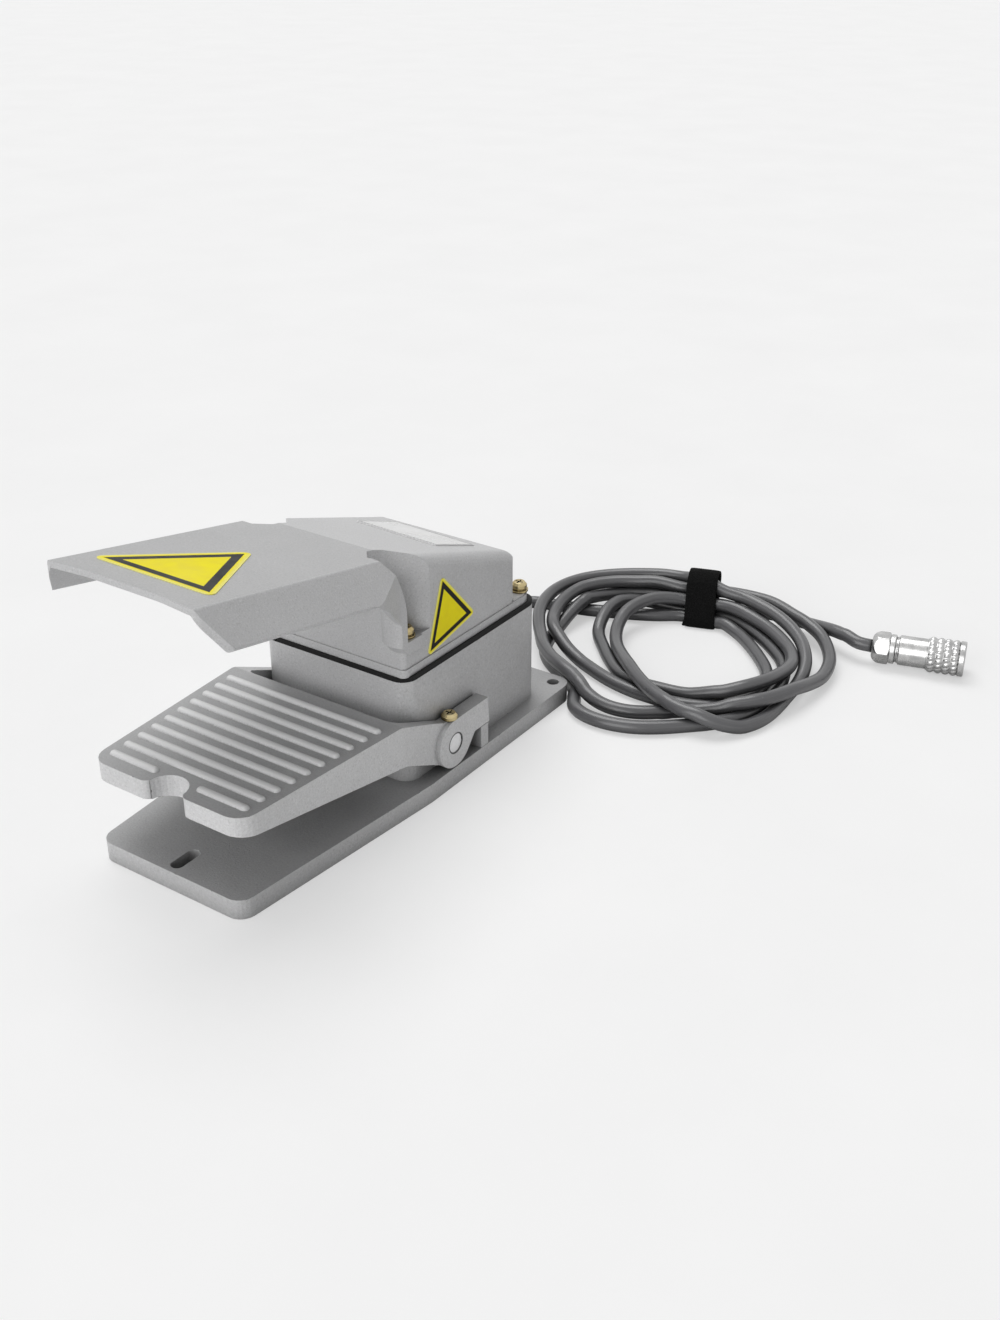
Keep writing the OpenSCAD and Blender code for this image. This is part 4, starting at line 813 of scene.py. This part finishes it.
def sticker(name, centre, right, up, turn, side):
    """Yellow film with a dark border, for an equal-sided triangle of that side."""
    tree, shader, place = start(name, roughness=0.5)
    shader.inputs["Specular IOR Level"].default_value = 0.2
    apothem = side / (2 * math.sqrt(3))
    furthest = None
    for k in range(3):
        a = turn + math.radians(-90 + 120 * k)
        direction = [math.cos(a) * r + math.sin(a) * u for r, u in zip(right, up)]
        reach = towards(tree, place, centre, direction)
        furthest = reach if furthest is None else maths(tree, "MAXIMUM", furthest, reach)
    border = band(tree, furthest, apothem - side * BORDER_INNER, apothem - side * BORDER_OUTER)
    rim = between(tree, furthest, apothem - side * RIM_W, apothem)
    cloud = between(tree, noise(tree, place, 120, 2), 0.3, 0.7)
    yellow = blend_colours(tree, cloud, (0.90, 0.76, 0.0), (0.96, 0.84, 0.0))
    yellow = blend_colours(tree, rim, yellow, (0.90, 0.85, 0.25))
    feed(tree, shader.inputs["Base Color"], blend_colours(tree, border, yellow, neutral(0.004)))
    scuff = noise(tree, place, 60, 4, 0.6)
    feed(tree, shader.inputs["Roughness"], between(tree, scuff, 0.3, 0.7, 0.42, 0.58))
    return tree


def triangle_middle(side, corner_r, turn):
    """How far left of and below its middle a triangle with rounded corners reaches, in metres.

    The rounding's centre is 2 r nearer the middle than the sharp corner, side / sqrt(3).
    """
    reach = side / math.sqrt(3) - 2 * corner_r
    angles = [turn + math.radians(90 + 120 * k) for k in range(3)]
    return (corner_r - reach * min(math.cos(a) for a in angles),
            corner_r - reach * min(math.sin(a) for a in angles))


# %% [markdown]
# ## The two stickers
#
# Each border has to sit in the middle of its own triangle. The model gives only the box
# round a sticker, so its middle is worked out from the box's sides and the rounded
# corners' reach.
# %% Dress the two stickers
HOOD_SIDE, HOOD_CORNER = 0.070, 0.003
SIDE_SIDE, SIDE_CORNER = 0.040, 0.002
SIDE_TURN = math.radians(12)
FILM = 0.0003

low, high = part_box("hood_sticker")
_, below = triangle_middle(HOOD_SIDE, HOOD_CORNER, 0.0)
hood_up = (0.0, math.cos(HOOD_RISE), -math.sin(HOOD_RISE))
hood_middle = (0.0, low.y + below * math.cos(HOOD_RISE),
               high.z - below * math.sin(HOOD_RISE) - FILM * math.cos(HOOD_RISE))
dress(["hood_sticker"], sticker("film_hood", hood_middle, (1, 0, 0), hood_up, 0.0, HOOD_SIDE))

low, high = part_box("side_sticker")
left, below = triangle_middle(SIDE_SIDE, SIDE_CORNER, SIDE_TURN)
side_middle = (low.x, low.y + left, low.z + below)
dress(["side_sticker"],
      sticker("film_side", side_middle, (0, 1, 0), (0, 0, 1), SIDE_TURN, SIDE_SIDE))
print("sticker middles, m:", np.round(hood_middle, 4), np.round(side_middle, 4))

# %% [markdown]
# ## The name plate
#
# It is a thin foil stuck on the roof, a little askew, as a hand would put it. Its line
# runs at an even distance from four sides instead of three.
# %% Dress the blank name plate
PLATE_HALF = (0.027, 0.0145)
LINE_FROM, LINE_TO = -0.0013, -0.0005
PLATE_TURN = math.radians(-6)
low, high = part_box("name_plate")
plate_middle = [(a + b) / 2 for a, b in zip(low, high)]
roof_up = np.array([0.0, math.cos(ROOF_FALL), -math.sin(ROOF_FALL)])
roof_right = np.array([1.0, 0.0, 0.0])
plate_right = math.cos(PLATE_TURN) * roof_right + math.sin(PLATE_TURN) * roof_up
plate_up = math.cos(PLATE_TURN) * roof_up - math.sin(PLATE_TURN) * roof_right

tree, shader, place = start("plate_foil", metallic=0.15, roughness=0.3)
inside = None
for direction, reach in ((plate_right, PLATE_HALF[0]), (plate_up, PLATE_HALF[1])):
    away = maths(tree, "ABSOLUTE", towards(tree, place, plate_middle, direction))
    off = maths(tree, "SUBTRACT", away, reach)
    inside = off if inside is None else maths(tree, "MAXIMUM", inside, off)
outline = band(tree, inside, LINE_FROM, LINE_TO)
cloud = noise(tree, place, 55, 3)
foil = blend_colours(tree, between(tree, cloud, 0.3, 0.7), (0.74, 0.74, 0.735), (0.82, 0.82, 0.82))
feed(tree, shader.inputs["Base Color"], blend_colours(tree, outline, foil, neutral(0.015)))
feed(tree, shader.inputs["Roughness"], between(tree, cloud, 0.3, 0.7, 0.22, 0.38))
feed(tree, shader.inputs["Normal"], grain(tree, noise(tree, place, 300, 2), 0.00004))
dress(["name_plate"], tree)

# %% [markdown]
# ## Bright and yellow metals
#
# The shaft and the inner hardware are bright steel with fine turning marks. The screws
# are zinc with a yellow passivation, which shifts a little from gold to green and pink.
# The connector is nickel plated: nearly a mirror, with a faint haze and small scuffs.
# All of them differ only in tone, gloss and marks, so one function makes them all.
# %% Metals
def metal(name, dark, light, rough, marks, depth, radius=0.0003):
    """A metal whose colour drifts between two tones.

    marks stretches its fine lines, depth is theirs and radius the edges', in metres.
    """
    tree, shader, place = start(name, metallic=1.0)
    soft, edge = rounded_edges(tree, radius)
    cloud = noise(tree, place, 160, 3)
    lines = noise(tree, place, 1500, 2, 0.6, marks)
    # painted shade: darker in recesses, slots and grooves
    recess_shade = between(tree, crevices(tree, 0.002), 0.2, 0.7, 0, 0.9)
    tone = blend_colours(tree, between(tree, cloud, 0.3, 0.7), dark, light)
    tone = blend_colours(tree, between(tree, edge, 0.02, 0.15, 0, 0.35), tone, scaled(light, 1.2))
    feed(tree, shader.inputs["Base Color"], blend_colours(tree, recess_shade, tone, scaled(dark, 0.08)))
    feed(tree, shader.inputs["Roughness"],
         maths(tree, "ADD", between(tree, cloud, 0.3, 0.7, rough * 0.75, rough * 1.2),
               between(tree, lines, 0.3, 0.7, -0.04, 0.05)))
    feed(tree, shader.inputs["Normal"], grain(tree, lines, depth, soft))
    return tree


dress(["pivot_shaft"],
      metal("steel_turned", (0.70, 0.70, 0.71), (0.84, 0.84, 0.85), 0.34, (1, 1, 1), 0.00002))
dress(["switch_bracket", "bracket_screws", "switch_screws", "terminal_screws", "return_spring",
       "cam_lever"],
      metal("steel_inside", (0.5, 0.5, 0.51), (0.62, 0.62, 0.64), 0.32, (1, 1, 0.2), 0.00002))
dress(["cover_screws", "cover_washers", "treadle_set_screws", "cam_screw"],
      metal("zinc_yellow", (0.34, 0.25, 0.10), (0.58, 0.49, 0.28), 0.20, (1, 1, 1), 0.00003))
dress(["shaft_bushes"],
      metal("bronze_bush", (0.48, 0.31, 0.14), (0.6, 0.42, 0.2), 0.35, (0.1, 1, 1), 0.00002))
dress(["earth_screw", "connector_contacts"],
      metal("brass_bright", (0.68, 0.5, 0.2), (0.8, 0.64, 0.32), 0.25, (1, 1, 0.3), 0.00001))
dress(["clamp_nut", "connector_barrel", "locking_ring"],
      metal("nickel_bright", neutral(0.40), (0.56, 0.56, 0.555), 0.26, (1, 1, 1), 0.00001, 0.0002))

# %% [markdown]
# ## Rubber and plastics
#
# The gasket and seals are black rubber, matte and slightly mottled. The gland and the
# switch body are black moulded plastic with a fine spark-eroded grain. Rubber drinks in
# the light and plastic gives some back, which is a matter of roughness alone.
# %% Rubber, plastics and insulation
def moulded(name, dark, light, rough, depth, cells=900):
    """A moulded finish: a colour that drifts, a fine grain, and softer edges."""
    tree, shader, place = start(name)
    shader.inputs["Specular IOR Level"].default_value = 0.25
    soft, edge = rounded_edges(tree, 0.0003)
    cloud = between(tree, noise(tree, place, 70, 3), 0.3, 0.7)
    tone = blend_colours(tree, cloud, dark, light)
    rubbed = [min(c * 1.5 + 0.01, 1) for c in light]
    feed(tree, shader.inputs["Base Color"],
         blend_colours(tree, between(tree, edge, 0.03, 0.2, 0, 0.3), tone, rubbed))
    feed(tree, shader.inputs["Roughness"], between(tree, cloud, 0, 1, rough - 0.06, rough + 0.06))
    feed(tree, shader.inputs["Normal"], grain(tree, noise(tree, place, cells, 3), depth, soft))
    return tree


dress(["cover_gasket", "shaft_seals", "gland_seal"],
      moulded("rubber_black", neutral(0.005), neutral(0.010), 0.70, 0.00005))
dress(["gland_body", "gland_lock_nut", "gland_nut", "micro_switch", "connector_insert"],
      moulded("plastic_black", (0.016, 0.016, 0.017), (0.026, 0.026, 0.027), 0.42, 0.00004))
dress(["terminal_block"],
      moulded("plastic_ivory", (0.66, 0.62, 0.48), (0.74, 0.70, 0.56), 0.45, 0.00004))
dress(["switch_plunger"],
      moulded("plastic_red", (0.42, 0.02, 0.015), (0.52, 0.035, 0.025), 0.38, 0.00003))
dress(["inner_leads"],
      moulded("insulation_blue", (0.02, 0.06, 0.22), (0.03, 0.09, 0.3), 0.4, 0.00003))

# %% [markdown]
# ## The cable's jacket
#
# The jacket is grey PVC: satin, with faint lengthwise streaks, a little dust and some
# pale scuffs. The streaks have to follow every bend, which Object coordinates can't do,
# so they read a UV map: the length in metres one way, the place round the jacket the
# other.
# %% Lay a map on a tube
def lay_map(piece, rows, columns, lengths, width):
    """UV: u is the length run in metres, v goes from 0 to width once round."""
    mesh = piece.data
    corner = np.zeros(len(mesh.loops), int)
    mesh.loops.foreach_get("vertex_index", corner)
    row = np.minimum(corner // columns, rows - 1)
    row[corner == rows * columns] = 0
    column = corner % columns
    starts = np.zeros(len(mesh.polygons), int)
    totals = np.zeros(len(mesh.polygons), int)
    mesh.polygons.foreach_get("loop_start", starts)
    mesh.polygons.foreach_get("loop_total", totals)
    seam = np.repeat(np.maximum.reduceat(column, starts) == columns - 1, totals)
    column = np.where(seam & (column == 0), columns, column)
    uv = np.stack([lengths[row], column / columns * width], axis=1)
    layer = mesh.uv_layers.new(name="along")
    layer.data.foreach_set("uv", uv.astype(np.float32).ravel())
    print(piece.name, "map, m:", uv.max(0).round(3))


def along_map(tree):
    """The map laid along a tube."""
    node = tree.nodes.new("ShaderNodeUVMap")
    node.uv_map = "along"
    return node.outputs["UV"]


# %% Dress the cable
run_length = np.linspace(0, CABLE_LENGTH, len(cable_line))
lay_map(cable, len(cable_line), CABLE_SIDES, run_length, 2 * math.pi * CABLE_R * MM)
tree, shader, place = start("jacket_grey", roughness=0.36)
mapped = along_map(tree)
streak = noise(tree, mapped, 700, 3, 0.6, (0.03, 1, 1))
patch = between(tree, noise(tree, place, 26, 3), 0.3, 0.7)
dust = noise(tree, place, 420, 3, 0.7)
tone = blend_colours(tree, patch, (0.072, 0.072, 0.076), (0.098, 0.098, 0.102))
tone = blend_colours(tree, between(tree, streak, 0.5, 0.75, 0, 0.25), tone, neutral(0.24))
tone = blend_colours(tree, between(tree, dust, 0.66, 0.78, 0, 0.3), tone, (0.4, 0.4, 0.39))
# painted shade where the strands lie close together
shade = between(tree, crevices(tree, 0.012), 0.15, 0.85, 0, 0.85)
tone = blend_colours(tree, shade, tone, neutral(0.012))
shader.inputs["Coat Weight"].default_value = 0.3
shader.inputs["Coat Roughness"].default_value = 0.24
feed(tree, shader.inputs["Base Color"], tone)
feed(tree, shader.inputs["Roughness"], between(tree, patch, 0, 1, 0.26, 0.36))
feed(tree, shader.inputs["Normal"], grain(tree, streak, 0.00004, grain(tree, dust, 0.00002)))
dress(["cable_coiled", "cable_entry"], tree)

# %% [markdown]
# ## The tie's fabric
#
# It is black loop fabric: thousands of tiny loops with a little lint caught in them.
# Real loops would be far too many faces, so a fine cell pattern and a deep bump stand
# for them.
# %% Dress the tie
tree, shader, place = start("loop_fabric", roughness=0.92)
shader.inputs["Specular IOR Level"].default_value = 0.1
loops = tree.nodes.new("ShaderNodeTexVoronoi")
loops.inputs["Scale"].default_value = 1300
feed(tree, loops.inputs["Vector"], place)
fuzz = noise(tree, place, 2600, 2, 0.7)
depth = maths(tree, "ADD", loops.outputs["Distance"], fuzz)
lint = noise(tree, place, 500, 4, 0.75)
tone = blend_colours(tree, between(tree, depth, 0.4, 1.3), neutral(0.002), neutral(0.008))
feed(tree, shader.inputs["Base Color"],
     blend_colours(tree, between(tree, lint, 0.68, 0.76, 0, 0.25), tone, neutral(0.12)))
feed(tree, shader.inputs["Normal"], grain(tree, depth, 0.0005))
dress(["tie_strip"], tree)

# %% [markdown]
# ## The floor
#
# The floor is a wide pale sheet that keeps a soft shadow. More light would make it white
# but would bleach the pedal too, so only what the camera sees of it is lifted.
# %% Lay the floor
FLOOR_HALF = 9.0
FLOOR_Z = -0.0001
FLOOR_GLOW = 0.45
corners = [(-1, -1), (1, -1), (1, 1), (-1, 1)]
floor_mesh = bpy.data.meshes.new("floor")
floor_mesh.from_pydata([(x * FLOOR_HALF, y * FLOOR_HALF, FLOOR_Z) for x, y in corners],
                       [], [(0, 1, 2, 3)])
floor = bpy.data.objects.new("floor", floor_mesh)
bpy.context.scene.collection.objects.link(floor)
tree, shader, place = start("floor_pale", roughness=0.85)
shader.inputs["Specular IOR Level"].default_value = 0.1
cloud = noise(tree, place, 9, 4)
feed(tree, shader.inputs["Base Color"],
     blend_colours(tree, between(tree, cloud, 0.3, 0.7), neutral(0.86), neutral(0.90)))
glow = tree.nodes.new("ShaderNodeEmission")
glow.inputs["Color"].default_value = (1, 1, 1, 1)
rays = tree.nodes.new("ShaderNodeLightPath")
seen = maths(tree, "MULTIPLY", rays.outputs["Is Camera Ray"], FLOOR_GLOW)
lifted = tree.nodes.new("ShaderNodeMixShader")
feed(tree, lifted.inputs[0], seen)
feed(tree, lifted.inputs[1], shader.outputs[0])
feed(tree, lifted.inputs[2], glow.outputs[0])
feed(tree, tree.nodes["Material Output"].inputs["Surface"], lifted.outputs[0])
dress(["floor"], tree)

# %% [markdown]
# ## The light
#
# The light is an even pale sky, a broad soft sun from overhead and a low one that fills
# the front. Lamps could be area lights near the object, but a sun is as strong behind it
# as in front, which keeps the sum simple. A sheet that faces up gets about as much light
# as a colour needs to look as it is written: the sky gives its own strength, and a sun
# its strength times the sine of its height over pi.
# %% Hang the sky and the suns
SKY = 0.32
SKY_SEEN = 0.94

world = bpy.data.worlds.new("sky")
bpy.context.scene.world = world
world.use_nodes = True
sky_tree = world.node_tree
sky = sky_tree.nodes["Background"]
sky.inputs["Color"].default_value = (1, 1, 1, 1)
rays = sky_tree.nodes.new("ShaderNodeLightPath")
mirrored = maths(sky_tree, "MAXIMUM", rays.outputs["Is Glossy Ray"],
                 rays.outputs["Is Transmission Ray"])
seen = maths(sky_tree, "MAXIMUM", rays.outputs["Is Camera Ray"], mirrored)
feed(sky_tree, sky.inputs["Strength"], between(sky_tree, seen, 0, 1, SKY, SKY_SEEN))


def sun(name, strength, height, bearing, spread):
    """A soft sun, and what it gives a level sheet; bearing is in degrees from +X towards +Y."""
    data = bpy.data.lights.new(name, "SUN")
    data.energy = strength
    data.angle = math.radians(spread)
    lamp = bpy.data.objects.new(name, data)
    bpy.context.scene.collection.objects.link(lamp)
    lamp.rotation_euler = (0, math.radians(90 - height), math.radians(bearing))
    return strength * math.sin(math.radians(height)) / math.pi


level = (SKY + sun("sun_over", strength=1.5, height=68, bearing=150, spread=40)
         + sun("sun_front", strength=1.45, height=18, bearing=-92, spread=50))
bpy.context.scene.view_settings.view_transform = "Standard"
print("light on a level sheet:", round(level, 2))
